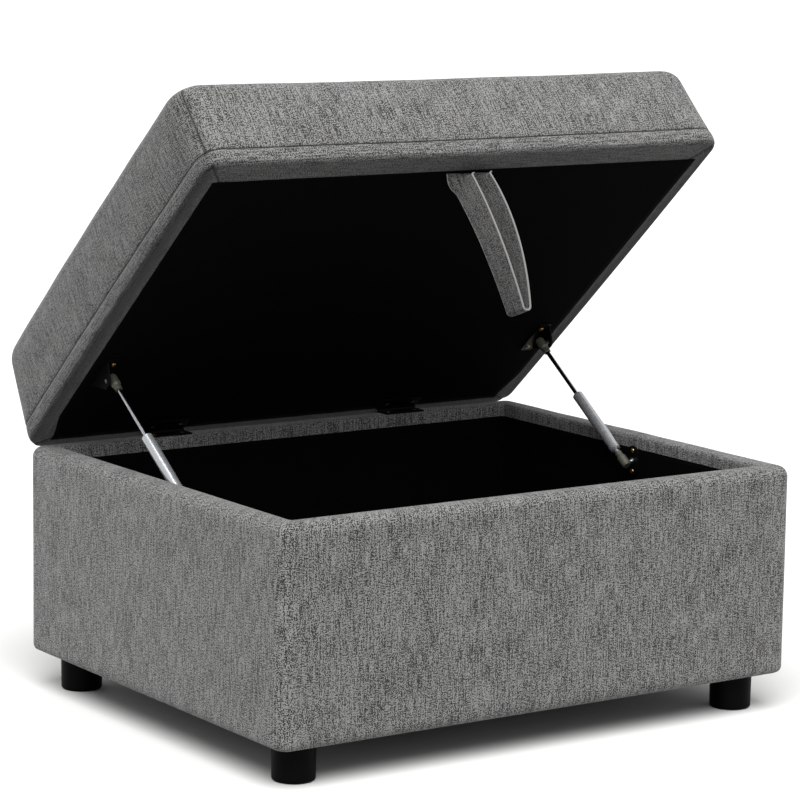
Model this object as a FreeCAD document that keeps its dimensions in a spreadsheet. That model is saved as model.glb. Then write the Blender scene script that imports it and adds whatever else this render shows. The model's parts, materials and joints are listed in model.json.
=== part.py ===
# Upholstered storage ottoman: a covered box on four round legs, with a padded lid
# that is hinged along the back and held open by two gas struts.
# Frame: X to the right, Y to the back, Z up, millimetres. The origin is on the floor
# under the middle of the open ottoman.
import FreeCAD, Part
import math
import os
import re
import Sketcher

V = FreeCAD.Vector
LEFT = -1
RIGHT = 1
SIDE_NAMES = {LEFT: "left", RIGHT: "right"}

# Driving sizes
SIZES = {
    # the covered box
    "base_width": 800.0,
    "base_depth": 640.0,
    "rim_height": 330.0,
    "leg_height": 50.0,
    "cover": 2.0,
    "padding": 8.0,
    "panel": 22.0,
    "lining": 2.0,
    "soft_gap": 0.3,
    "rim_padding": 3.0,
    "corner_radius": 20.0,
    "rim_radius": 14.0,
    "rim_inner_radius": 5.0,
    "bottom_radius": 9.5,
    "hem_depth": 18.0,
    "base_dust_cover": 1.0,
    "block_size": 84.0,
    "block_height": 39.0,
    "floor_board": 9.0,
    # legs and what holds them
    "leg_radius": 28.0,
    "leg_foot_radius": 27.5,
    "leg_inset": 53.0,
    "leg_edge": 4.0,
    "bolt_radius": 4.0,
    "bolt_in_leg": 28.0,
    "bolt_in_block": 34.0,
    "bolt_gap": 0.1,
    "tee_nut_barrel_radius": 5.0,
    "tee_nut_barrel": 10.0,
    "tee_nut_flange_reach": 10.0,
    "tee_nut_flange": 1.5,
    # lid
    "lid_overhang": 3.0,
    "lid_setback": 9.0,
    "lid_height": 130.0,
    "seam_height": 22.0,
    "lid_corner_radius": 26.0,
    "lid_edge_radius": 22.0,
    "lid_under_radius": 6.0,
    "back_lean": 31.0,
    "crown": 4.0,
    "crown_shoulder": 3.0,
    "crown_margin": 6.0,
    "crown_slope": 100.0,
    "crown_middle": 230.0,
    "front_draw": 3.0,
    "side_swell": 3.0,
    "lid_board": 15.0,
    "lid_dust_cover": 0.8,
    "wrap_side": 23.0,
    "wrap_front": 40.0,
    "wrap_back": 17.0,
    "wrap_overlap": 10.0,
    # hinges
    "hinge_inset": 6.0,
    "hinge_rise": 2.0,
    "hinge_back_gap": 14.0,
    "hinge_drop": 2.6,
    "hinge_width": 66.0,
    "hinge_offset": 194.0,
    "leaf": 1.5,
    "leaf_depth": 26.0,
    "leaf_drop": 2.0,
    "leaf_corner": 2.0,
    "leaf_relief": 0.8,
    "knuckle_radius": 2.2,
    "knuckle_gap": 0.2,
    "knuckle_lap": 1.0,
    "pin_radius": 1.1,
    "running_gap": 0.05,
    # gas struts
    "strut_inboard": 16.0,
    "lid_ball_reach": 172.0,
    "lid_ball_drop": 16.0,
    "base_ball_reach": 336.5,
    "base_ball_drop": 38.0,
    "strut_length": 242.0,
    "rod_radius": 3.0,
    "rod_shown": 88.0,
    "tube_radius": 7.5,
    "tube_wall": 1.0,
    "tube_length": 113.0,
    "piston": 8.0,
    "gland": 10.0,
    "piston_gap": 2.0,
    "rod_end": 1.5,
    "tube_lip": 1.5,
    "tube_shoulder": 2.0,
    "tube_bottom": 3.0,
    "tube_mouth_gap": 0.2,
    "stud_air": 0.3,
    "ball_radius": 4.0,
    "stud_radius": 2.5,
    "stud_flange_radius": 4.5,
    "stud_flange": 2.5,
    "socket_radius": 6.5,
    "socket_neck_radius": 5.0,
    "socket_back": 8.0,
    "socket_neck": 18.0,
    "socket_edge": 2.5,
    "socket_shoulder": 3.0,
    "socket_mouth_radius": 3.2,
    "rod_in_socket": 9.5,
    "bracket": 2.0,
    "bracket_corner": 4.0,
    "bracket_tip": 8.0,
    "bracket_tip_corner": 6.0,
    "bracket_flange_out": 10.0,
    "bracket_foot_in": 8.0,
    "bracket_foot_front": 25.0,
    "bracket_foot_back": 40.0,
    "plate_half_width": 12.0,
    "plate_half_height": 21.0,
    "plate_corner": 11.8,
    # pull loop
    "loop_width": 38.0,
    "loop_root": 9.5,
    "loop_fold": 7.25,
    "loop_strap": 3.0,
    "loop_length": 190.0,
    "loop_offset": 17.5,
    "loop_spread": 45.0,
    "loop_tip_shift": 9.0,
    "loop_tip_width": 16.0,
    "loop_front_inset": 56.0,
    "loop_lean": 9.0,
}


def worked_out(size):
    """Sizes that follow from the driving ones, so that the pieces meet."""
    wall = size["cover"] + size["padding"] + size["panel"] + size["lining"]
    lid_depth = (size["base_depth"] - size["hinge_inset"]
                 + size["hinge_back_gap"] - size["lid_setback"])
    found = {
        "wall": wall,
        "floor_height": size["leg_height"] + size["base_dust_cover"] + size["block_height"],
        "hinge_y": size["base_depth"] - size["hinge_inset"],
        "hinge_z": size["rim_height"] + size["hinge_rise"],
        "lid_width": size["base_width"] + 2 * size["lid_overhang"],
        "lid_depth": lid_depth,
        "lid_front": size["hinge_back_gap"] - lid_depth,
        "lid_top": size["hinge_drop"] + size["lid_height"],
        "board_inset": size["lid_under_radius"] + size["soft_gap"],
        "lining_x": size["base_width"] / 2 - wall,
        "ball_neck": size["ball_radius"] / 2,
        "ball_neck_start": size["ball_radius"] * math.cos(math.radians(30)),
        "ball_bulge": size["ball_radius"] * (1 - math.cos(math.radians(75))),
        "strut_x": size["base_width"] / 2 - wall - size["strut_inboard"],
    }
    # The lid opens until the struts reach their length: the hinge axis, the ball on the
    # lid and the ball on the box make a triangle whose third side is the strut.
    lid_arm = math.hypot(size["lid_ball_reach"], size["lid_ball_drop"])
    base_arm = math.hypot(size["base_ball_reach"], size["base_ball_drop"])
    between = math.acos((lid_arm ** 2 + base_arm ** 2 - size["strut_length"] ** 2)
                        / (2 * lid_arm * base_arm))
    lid_ball_dip = math.atan2(size["lid_ball_drop"], size["lid_ball_reach"])
    base_ball_dip = math.atan2(size["base_ball_drop"], size["base_ball_reach"])
    opening = between + lid_ball_dip - base_ball_dip
    lift = opening - lid_ball_dip
    found["open_angle"] = math.degrees(opening)
    found["lid_ball_y"] = found["hinge_y"] - lid_arm * math.cos(lift)
    found["lid_ball_z"] = found["hinge_z"] + lid_arm * math.sin(lift)
    found["base_ball_y"] = found["hinge_y"] - size["base_ball_reach"]
    found["base_ball_z"] = found["hinge_z"] - size["base_ball_drop"]
    forward = found["lid_ball_y"] - found["base_ball_y"]
    down = found["lid_ball_z"] - found["base_ball_z"]
    found["strut_angle"] = math.degrees(math.atan2(forward, -down))
    # The rolled edge between the open lid's leaning back and its top reaches furthest
    # back, which gives the object's depth, and so its middle.
    lean = size["back_lean"] / size["lid_height"]
    roll_y = (size["hinge_back_gap"] - lean * (size["lid_height"] - size["lid_edge_radius"])
              - size["lid_edge_radius"] * math.hypot(1, lean))
    roll_z = found["lid_top"] - size["lid_edge_radius"]
    reach = roll_y * math.cos(opening) + roll_z * math.sin(opening) + size["lid_edge_radius"]
    found["middle_y"] = (found["hinge_y"] + reach) / 2
    return found


SIZES.update(worked_out(SIZES))

doc = FreeCAD.newDocument("StorageOttoman")
sheet = doc.addObject("Spreadsheet::Sheet", "Sizes")
for row, (alias, value) in enumerate(SIZES.items(), start=1):
    sheet.set("A%d" % row, alias)
    sheet.set("B%d" % row, "%.9g" % value)
    sheet.setAlias("B%d" % row, alias)
doc.recompute()

parts = []


# Helpers

def formula(text):
    """Turns each size's name in the text into a reference to its cell."""
    return re.sub(r"[a-z_]+", lambda word: "Sizes." + word[0] if word[0] in SIZES else word[0],
                  str(text))


def number(text):
    """The present value of a formula."""
    return float(sheet.evalExpression(formula(text)))


def place(piece, frame):
    """Puts a sub-part in the object, bound to the frame that it was drawn in."""
    name, side = frame
    if name == "base":
        piece.setExpression(".Placement.Base.y", formula("-middle_y"))
    if name == "lid":
        piece.Placement = FreeCAD.Placement(V(), FreeCAD.Rotation(V(-1, 0, 0), 1.0))
        piece.setExpression(".Placement.Base.y", formula("hinge_y - middle_y"))
        piece.setExpression(".Placement.Base.z", formula("hinge_z"))
        piece.setExpression(".Placement.Rotation.Angle", formula("open_angle"))
    if name == "strut":
        piece.Placement = FreeCAD.Placement(V(), FreeCAD.Rotation(V(1, 0, 0), 1.0))
        piece.setExpression(".Placement.Base.x", formula("%d * strut_x" % side))
        piece.setExpression(".Placement.Base.y", formula("lid_ball_y - middle_y"))
        piece.setExpression(".Placement.Base.z", formula("lid_ball_z"))
        piece.setExpression(".Placement.Rotation.Angle", formula("strut_angle"))


BASE = ("base", 0)
LID = ("lid", 0)


def keep(piece, label, frame):
    """Names a sub-part, places it and adds it to the list of pieces to write."""
    piece.Label = label
    place(piece, frame)
    parts.append(piece)
    return piece


def new_body(name):
    return doc.addObject("PartDesign::Body", name)


def origin_plane(body, role):
    return next(item for item in body.Origin.OriginFeatures if item.Role == role)


def new_sketch(body, role, height="0"):
    """A sketch on one of the body's own origin planes, moved along its normal.
    The normals are +Z on XY_Plane, -Y on XZ_Plane and +X on YZ_Plane."""
    sketch = body.newObject("Sketcher::SketchObject", "Sketch")
    sketch.AttachmentSupport = (origin_plane(body, role), [""])
    sketch.MapMode = "FlatFace"
    sketch.setExpression(".AttachmentOffset.Base.z", formula(height))
    return sketch


def bound(sketch, kind, geometry, text, point=None):
    """Adds one measured constraint whose value is a formula."""
    value = number(text)
    if point is None:
        index = sketch.addConstraint(Sketcher.Constraint(kind, geometry, value))
    else:
        index = sketch.addConstraint(Sketcher.Constraint(kind, -1, 1, geometry, point, value))
    sketch.setExpression("Constraints[%d]" % index, formula(text))


def outline(sketch, points):
    """A closed outline through points (x, y), (x, y, bulge) or (x, y, bulge, centre x)
    given as formulas. A bulge is how far the side from that point to the next swells to
    its right. A half circle is held by its centre, because its radius can't hold it."""
    first = sketch.GeometryCount
    spots = [V(number(point[0]), number(point[1]), 0) for point in points]
    count = len(points)
    for position, point in enumerate(points):
        start = spots[position]
        end = spots[(position + 1) % count]
        if len(point) > 2:
            along = end - start
            right = V(along.y, -along.x, 0).normalize()
            middle = (start + end) / 2 + right * number(point[2])
            side = Part.Arc(start, middle, end)
        else:
            side = Part.LineSegment(start, end)
        sketch.addGeometry(side, False)
    for position, point in enumerate(points):
        index = first + position
        after = first + (position + 1) % count
        sketch.addConstraint(Sketcher.Constraint("Coincident", index, end_point(sketch, index),
                                                 after, start_point(sketch, after)))
        bound(sketch, "DistanceX", index, point[0], start_point(sketch, index))
        bound(sketch, "DistanceY", index, point[1], start_point(sketch, index))
    for position, point in enumerate(points):
        if len(point) == 4:
            bound(sketch, "DistanceX", first + position, point[3], 3)
        if len(point) == 3:
            following = points[(position + 1) % count]
            chord_squared = "((%s - (%s)) ^ 2 + (%s - (%s)) ^ 2)" % (
                following[0], point[0], following[1], point[1])
            bulge = "abs(%s)" % point[2]
            bound(sketch, "Radius", first + position,
                  "(%s / 4 + %s ^ 2) / (2 * %s)" % (chord_squared, bulge, bulge))


def runs_backwards(sketch, index):
    """Whether an arc, always kept anticlockwise, runs against the outline."""
    side = sketch.Geometry[index]
    return isinstance(side, Part.ArcOfCircle) and side.Circle.Axis.z < 0


def start_point(sketch, index):
    return 2 if runs_backwards(sketch, index) else 1


def end_point(sketch, index):
    return 1 if runs_backwards(sketch, index) else 2


def rectangle(sketch, x_low, x_high, y_low, y_high):
    outline(sketch, [(x_low, y_low), (x_high, y_low), (x_high, y_high), (x_low, y_high)])


def circles(sketch, centres, radius):
    for x, y in centres:
        centre = V(number(x), number(y), 0)
        index = sketch.addGeometry(Part.Circle(centre, V(0, 0, 1), number(radius)), False)
        bound(sketch, "DistanceX", index, x, 3)
        bound(sketch, "DistanceY", index, y, 3)
        bound(sketch, "Radius", index, radius)


def squares(sketch, centres, reach):
    """Square cuts of a given reach from their middles."""
    for x, y in centres:
        rectangle(sketch, "%s - (%s)" % (x, reach), "%s + (%s)" % (x, reach),
                  "%s - (%s)" % (y, reach), "%s + (%s)" % (y, reach))


def pad(body, sketch, length, both_ways=False, backwards=False):
    feature = body.newObject("PartDesign::Pad", "Pad")
    feature.Profile = sketch
    feature.SideType = "Symmetric" if both_ways else "One side"
    feature.Reversed = backwards
    feature.setExpression("Length", formula(length))
    doc.recompute()
    return feature


def pocket(body, sketch, length, both_ways=False, backwards=False):
    """Cuts into the body and makes sure that something was cut."""
    before = body.Shape.Volume
    feature = body.newObject("PartDesign::Pocket", "Pocket")
    feature.Profile = sketch
    feature.SideType = "Symmetric" if both_ways else "One side"
    feature.Reversed = backwards
    feature.setExpression("Length", formula(length))
    doc.recompute()
    if body.Shape.Volume > before - 1e-3:
        raise RuntimeError("a pocket in %s cut nothing" % body.Name)
    return feature


def revolve(body, sketch, axis="V_Axis"):
    feature = body.newObject("PartDesign::Revolution", "Revolution")
    feature.Profile = sketch
    feature.ReferenceAxis = (sketch, [axis])
    feature.Angle = 360
    doc.recompute()
    if sketch.State != ["Up-to-date"]:
        raise RuntimeError("the outline of %s failed" % body.Name)
    return feature


def edges_where(body, test):
    """Names of the edges whose box passes the test."""
    return ["Edge%d" % (index + 1) for index, edge in enumerate(body.Shape.Edges)
            if test(edge.BoundBox)]


def dress(body, kind, test, measure):
    """A fillet or chamfer on the edges whose box passes the test."""
    names = edges_where(body, test)
    if not names:
        raise RuntimeError("no edge to dress in %s" % body.Name)
    base = body.Tip
    feature = body.newObject("PartDesign::" + kind, kind)
    feature.Base = (base, names)
    feature.setExpression("Radius" if kind == "Fillet" else "Size", formula(measure))
    doc.recompute()
    if "Invalid" in feature.State:
        raise RuntimeError("a %s in %s failed" % (kind, body.Name))
    return feature


def same(first, second):
    return abs(first - second) < 1e-4


def upright(box):
    return same(box.XMin, box.XMax) and same(box.YMin, box.YMax) and box.ZLength > 1e-3


def flat_at(height):
    """A test for level edges at a height."""
    level = number(height)
    return lambda box: same(box.ZMin, level) and same(box.ZMax, level)


def boolean(kind, name, base, tool):
    feature = doc.addObject("Part::" + kind, name)
    feature.Base = base
    feature.Tool = tool
    doc.recompute()
    return feature


def block(name, x_low, x_high, y_low, y_high, z_low, thickness):
    """A plain board or prism, drawn on the ground plan."""
    body = new_body(name)
    sketch = new_sketch(body, "XY_Plane", z_low)
    rectangle(sketch, x_low, x_high, y_low, y_high)
    pad(body, sketch, thickness)
    return body


# Covered box

def rounded_box(name, inset, low, high, corner, top_edge, bottom_edge, inner_edge, hole_inset):
    """A ring with rounded upright corners and a rounded outer rim, set in from the box's
    outer faces. Its lower edge and its inner rim are rounded too where a radius is given."""
    body = new_body(name)
    sketch = new_sketch(body, "XY_Plane", low)
    rectangle(sketch, "-base_width / 2 + " + inset, "base_width / 2 - (%s)" % inset,
              inset, "base_depth - (%s)" % inset)
    pad(body, sketch, "%s - (%s)" % (high, low))
    dress(body, "Fillet", upright, corner)
    dress(body, "Fillet", flat_at(high), top_edge)
    if bottom_edge:
        dress(body, "Fillet", flat_at(low), bottom_edge)
    sketch = new_sketch(body, "XY_Plane", high)
    rectangle(sketch, "-base_width / 2 + " + hole_inset, "base_width / 2 - (%s)" % hole_inset,
              hole_inset, "base_depth - (%s)" % hole_inset)
    pocket(body, sketch, "%s - (%s)" % (high, low))
    if inner_edge:
        level = flat_at(high)
        limit = number("base_width / 2 - (%s) + lining" % hole_inset)
        dress(body, "Fillet", lambda box: level(box) and box.XMin > -limit and box.XMax < limit,
              inner_edge)
    return body


def wedge(name, side):
    """The quarter of the ground plan that one wall takes, mitred at 45 degrees."""
    outer = [("-base_width / 2 - wall", "-wall"), ("base_width / 2 + wall", "-wall"),
             ("base_width / 2 + wall", "base_depth + wall"),
             ("-base_width / 2 - wall", "base_depth + wall")]
    inner = [("-base_width / 2 + 2 * wall", "2 * wall"), ("base_width / 2 - 2 * wall", "2 * wall"),
             ("base_width / 2 - 2 * wall", "base_depth - 2 * wall"),
             ("-base_width / 2 + 2 * wall", "base_depth - 2 * wall")]
    turn = ("front", "right", "back", "left").index(side)
    after = (turn + 1) % 4
    body = new_body(name)
    sketch = new_sketch(body, "XY_Plane")
    outline(sketch, [outer[turn], outer[after], inner[after], inner[turn]])
    pad(body, sketch, "rim_height + leg_height")
    return body


def make_covers():
    """The sewn cover of each wall: outer face, rim, hem down the inside, turn under the wall."""
    outer = rounded_box("CoverOutside", "0", "leg_height", "rim_height", "corner_radius",
                        "rim_radius", "bottom_radius", "rim_inner_radius", "wall")
    inner = rounded_box("CoverInside", "cover", "leg_height + cover", "rim_height - cover",
                        "corner_radius - cover", "rim_radius - cover", "bottom_radius - cover",
                        "rim_inner_radius - cover", "wall - cover")
    ring = boolean("Cut", "CoverRing", outer, inner)
    room = block("CoverRoom", "-base_width / 2 + wall - lining", "base_width / 2 - wall + lining",
                 "wall - lining", "base_depth - wall + lining", "0", "rim_height - hem_depth")
    hemmed = boolean("Cut", "CoverHemmed", ring, room)
    for side in ("front", "back", "left", "right"):
        cover = boolean("Common", "Cover" + side, hemmed, wedge("Wedge" + side, side))
        keep(cover, "base_cover_" + side, BASE)


def make_padding():
    """Foam on the outer faces of the panels and thin wadding over their tops."""
    skin = "(cover + soft_gap)"
    inner = rounded_box("PaddingOutside", skin, "leg_height + bottom_radius",
                        "rim_height - " + skin, "corner_radius - " + skin,
                        "rim_radius - " + skin, None, None, "wall - rim_inner_radius")
    face = "cover + padding"
    frame = block("PaddingFrame", "-base_width / 2 + " + face, "base_width / 2 - (%s)" % face,
                  face, "base_depth - (%s)" % face,
                  "leg_height + cover", "rim_height - rim_padding - leg_height - 2 * cover")
    keep(boolean("Cut", "Foam", inner, frame), "base_padding", BASE)


def make_panels():
    """Four upright boards, butted at the corners."""
    low = "leg_height + cover"
    height = "rim_height - rim_padding - leg_height - 2 * cover"
    face = "cover + padding"
    back_face = "cover + padding + panel"
    half = "base_width / 2"
    keep(block("PanelFront", "-(%s) + %s" % (half, face), "%s - (%s)" % (half, face),
               face, back_face, low, height), "base_panel_front", BASE)
    keep(block("PanelBack", "-(%s) + %s" % (half, face), "%s - (%s)" % (half, face),
               "base_depth - (%s)" % back_face, "base_depth - (%s)" % face, low, height),
         "base_panel_back", BASE)
    for side, name in SIDE_NAMES.items():
        edges = sorted(["%d * (%s - (%s))" % (side, half, face),
                        "%d * (%s - (%s))" % (side, half, back_face)], key=number)
        keep(block("Panel" + name, edges[0], edges[1], back_face,
                   "base_depth - (%s)" % back_face, low, height), "base_panel_" + name, BASE)


def make_floor():
    """Board, blocks and linings that close the storage space."""
    inner = "cover + padding + panel"
    half = "base_width / 2"
    keep(block("FloorBoard", "-(%s) + %s" % (half, inner), "%s - (%s)" % (half, inner),
               inner, "base_depth - (%s)" % inner, "floor_height", "floor_board"),
         "storage_floor", BASE)
    keep(block("FloorLining", "-lining_x", "lining_x", "wall", "base_depth - wall",
               "floor_height + floor_board", "lining"), "storage_floor_lining", BASE)
    walls = block("WallLining", "-lining_x - lining", "lining_x + lining",
                  "wall - lining", "base_depth - wall + lining",
                  "floor_height + floor_board",
                  "rim_height - hem_depth - floor_height - floor_board")
    sketch = new_sketch(walls, "XY_Plane", "rim_height")
    rectangle(sketch, "-lining_x", "lining_x", "wall", "base_depth - wall")
    pocket(walls, sketch, "rim_height")
    keep(walls, "storage_wall_lining", BASE)
    dust = block("DustCover", "-(%s) + %s" % (half, inner), "%s - (%s)" % (half, inner),
                 inner, "base_depth - (%s)" % inner, "leg_height", "base_dust_cover")
    sketch = new_sketch(dust, "XY_Plane", "leg_height + base_dust_cover")
    squares(sketch, leg_spots(), "bolt_radius + bolt_gap")
    pocket(dust, sketch, "base_dust_cover")
    keep(dust, "base_dust_cover", BASE)


# Legs

def leg_spots():
    return [("%d * (base_width / 2 - leg_inset)" % side, depth) for side in SIDE_NAMES
            for depth in ("leg_inset", "base_depth - leg_inset")]


def make_leg(label, spot):
    """A round black leg with a rounded foot, bored for its bolt."""
    body = new_body(label)
    sketch = new_sketch(body, "XZ_Plane")
    outline(sketch, [("0", "0"),
                     ("leg_foot_radius - leg_edge", "0", "leg_edge * (1 - sqrt(0.5))"),
                     ("leg_foot_radius", "leg_edge"), ("leg_radius", "leg_height"),
                     ("bolt_radius + bolt_gap", "leg_height"),
                     ("bolt_radius + bolt_gap", "leg_height - bolt_in_leg"),
                     ("0", "leg_height - bolt_in_leg")])
    revolve(body, sketch)
    keep(body, label, BASE)
    body.setExpression(".Placement.Base.x", formula(spot[0]))
    body.setExpression(".Placement.Base.y", formula("%s - middle_y" % spot[1]))


def make_leg_fixings():
    """Blocks in the box's corners, tee nuts in them, and the bolts of the legs."""
    inner = "cover + padding + panel"
    blocks = new_body("Blocks")
    sketch = new_sketch(blocks, "XY_Plane", "leg_height + base_dust_cover")
    for side in SIDE_NAMES:
        x_edges = sorted(["%d * (base_width / 2 - (%s))" % (side, inner),
                          "%d * (base_width / 2 - (%s) - block_size)" % (side, inner)], key=number)
        for y_low in (inner, "base_depth - (%s) - block_size" % inner):
            rectangle(sketch, x_edges[0], x_edges[1], y_low, "%s + block_size" % y_low)
    pad(blocks, sketch, "block_height")
    sketch = new_sketch(blocks, "XY_Plane", "floor_height")
    circles(sketch, leg_spots(), "tee_nut_barrel_radius + bolt_gap")
    pocket(blocks, sketch, "block_height")
    sketch = new_sketch(blocks, "XY_Plane", "floor_height")
    squares(sketch, leg_spots(), "tee_nut_flange_reach + bolt_gap")
    pocket(blocks, sketch, "tee_nut_flange")
    keep(blocks, "corner_blocks", BASE)

    nuts = new_body("TeeNuts")
    sketch = new_sketch(nuts, "XY_Plane", "floor_height")
    squares(sketch, leg_spots(), "tee_nut_flange_reach")
    pad(nuts, sketch, "tee_nut_flange", backwards=True)
    sketch = new_sketch(nuts, "XY_Plane", "floor_height - tee_nut_flange")
    circles(sketch, leg_spots(), "tee_nut_barrel_radius")
    pad(nuts, sketch, "tee_nut_barrel", backwards=True)
    sketch = new_sketch(nuts, "XY_Plane", "floor_height")
    circles(sketch, leg_spots(), "bolt_radius + running_gap")
    pocket(nuts, sketch, "tee_nut_flange + tee_nut_barrel")
    keep(nuts, "leg_tee_nuts", BASE)

    bolts = new_body("Bolts")
    sketch = new_sketch(bolts, "XY_Plane", "leg_height - bolt_in_leg")
    circles(sketch, leg_spots(), "bolt_radius")
    pad(bolts, sketch, "bolt_in_leg + base_dust_cover + bolt_in_block")
    keep(bolts, "leg_bolts", BASE)


# Lid, drawn closed about the hinge axis

def lid_form(name, inset, low, high, under_edge):
    """The padded lid's form: drawn-in front, swelling sides, a back that leans forward,
    round corners, rolled edges and a low crown between them."""
    half = "(lid_width / 2 - (%s))" % inset
    back = "(hinge_back_gap - (%s))" % inset
    front = "(lid_front + %s)" % inset
    body = new_body(name)
    sketch = new_sketch(body, "XY_Plane", low)
    outline(sketch, [("-" + half, front, "-front_draw"), (half, front, "side_swell"),
                     (half, back), ("-" + half, back, "side_swell")])
    pad(body, sketch, "%s - (%s)" % (high, low))
    sketch = new_sketch(body, "YZ_Plane")
    outline(sketch, [(back, "hinge_drop"), (back + " + back_lean", "hinge_drop"),
                     (back + " + back_lean", "lid_top"), (back + " - back_lean", "lid_top")])
    pocket(body, sketch, "2 * lid_width", both_ways=True)
    tall = number("lid_height / 2")
    dress(body, "Fillet", lambda box: box.ZLength > tall, "lid_corner_radius - (%s)" % inset)
    dress(body, "Fillet", flat_at(high), "lid_edge_radius - (%s)" % inset)
    if under_edge:
        dress(body, "Fillet", flat_at(low), under_edge)
    add_crown(body, high)
    return body


def add_crown(body, high):
    """Raises the top by a low mound through three rectangles, so that the lid is highest
    in the middle and level along its edges."""
    sections = []
    for inset, rise in (("lid_edge_radius + crown_margin", "0"), ("crown_slope", "crown_shoulder"),
                        ("crown_middle", "crown")):
        sketch = new_sketch(body, "XY_Plane", "%s + %s" % (high, rise))
        rectangle(sketch, "-lid_width / 2 + " + inset, "lid_width / 2 - (%s)" % inset,
                  "lid_front + " + inset, "hinge_back_gap - back_lean - (%s)" % inset)
        sections.append(sketch)
    before = body.Shape.Volume
    loft = body.newObject("PartDesign::AdditiveLoft", "Crown")
    loft.Profile = sections[0]
    loft.Sections = sections[1:]
    doc.recompute()
    if body.Shape.Volume < before + 1:
        raise RuntimeError("the crown of %s added nothing" % body.Name)


def make_lid():
    """Cap, band, foam and board of the padded lid."""
    under = "hinge_drop"
    whole = lid_form("LidOutside", "0", under, "lid_top", "lid_under_radius")
    hollow = lid_form("LidHollow", "cover", "%s + cover" % under, "lid_top - cover",
                      "lid_under_radius - cover")
    skin = boolean("Cut", "LidSkin", whole, hollow)
    half = "lid_width / 2"
    window = block("LidWindow", "-(%s) + wrap_side + wrap_overlap" % half,
                   "%s - wrap_side - wrap_overlap" % half,
                   "lid_front + wrap_front + wrap_overlap",
                   "hinge_back_gap - wrap_back - wrap_overlap", "0", "%s + cover" % under)
    open_skin = boolean("Cut", "LidOpenSkin", skin, window)
    below = block("LidBelowSeam", "-lid_width", "lid_width", "-lid_width", "lid_width",
                  "0", "hinge_drop + seam_height")
    keep(boolean("Common", "LidBand", open_skin, below), "lid_cover_band", LID)
    keep(boolean("Cut", "LidCap", open_skin, below), "lid_cover_top", LID)

    skin = "(cover + soft_gap)"
    stuffing = lid_form("LidStuffing", skin, "%s + lid_under_radius" % under,
                        "lid_top - " + skin, None)

    def board_form(name):
        form = block(name, "-(%s) + board_inset" % half, "%s - board_inset" % half,
                     "lid_front + front_draw + board_inset", "hinge_back_gap - board_inset",
                     "%s + %s" % (under, skin), "lid_board - soft_gap")
        dress(form, "Fillet", upright, "lid_corner_radius - board_inset")
        return form

    keep(boolean("Cut", "LidFoam", stuffing, board_form("LidBoardSpace")), "lid_foam", LID)
    keep(board_form("LidBoard"), "lid_board", LID)

    keep(block("LidDust", "-(%s) + wrap_side" % half, "%s - wrap_side" % half,
               "lid_front + wrap_front", "hinge_back_gap - wrap_back",
               "hinge_drop - lid_dust_cover", "lid_dust_cover"), "lid_dust_cover", LID)


def make_pull_loop():
    """A strap folded into a narrow hanging loop and leaning a little to the back."""
    body = new_body("PullLoop")
    sketch = new_sketch(body, "XZ_Plane")
    lean = FreeCAD.Rotation(V(1, 0, 0), number("loop_lean"))
    sketch.AttachmentOffset = FreeCAD.Placement(V(), lean)
    sketch.setExpression(".AttachmentOffset.Rotation.Angle", formula("loop_lean"))
    sketch.setExpression(".AttachmentOffset.Base.y", formula("hinge_drop - lid_dust_cover"))
    sketch.setExpression(".AttachmentOffset.Base.z", formula("-(lid_front + loop_front_inset)"))
    left = "(loop_offset - loop_spread / 2 - loop_strap / 2)"
    right = "(loop_offset + loop_spread / 2 + loop_strap / 2)"
    tip_left = "(loop_offset + loop_tip_shift - loop_tip_width / 2)"
    tip_right = "(loop_offset + loop_tip_shift + loop_tip_width / 2)"
    outline(sketch, [(left, "loop_root"), (tip_left, "-loop_length"),
                     (tip_right, "-loop_length"),
                     (right, "loop_root"), (right + " - loop_strap", "loop_root"),
                     (tip_right + " - loop_strap", "-loop_length + loop_strap"),
                     (tip_left + " + loop_strap", "-loop_length + loop_strap"),
                     (left + " + loop_strap", "loop_root")])
    pad(body, sketch, "loop_width", both_ways=True)
    trim = new_sketch(body, "XY_Plane", "hinge_drop - lid_dust_cover")
    rectangle(trim, left + " - loop_strap", right + " + loop_strap",
              "lid_front", "lid_front + loop_front_inset + loop_width * 2")
    pocket(body, trim, "loop_width", backwards=True)
    low = number("hinge_drop - loop_length / 2")
    bend_left = number(tip_left)
    bend_right = number(tip_right)

    def outer_bend(box):
        return box.ZMax < low and box.XLength < 0.01 and (
            same(box.XMin, bend_left) or same(box.XMin, bend_right))

    def inner_bend(box):
        strap = number("loop_strap")
        return box.ZMax < low and box.XLength < 0.01 and (
            same(box.XMin, bend_left + strap) or same(box.XMin, bend_right - strap))

    dress(body, "Fillet", outer_bend, "loop_fold")
    dress(body, "Fillet", inner_bend, "loop_fold - loop_strap")
    keep(body, "pull_loop", LID)


# Hinges

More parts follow.
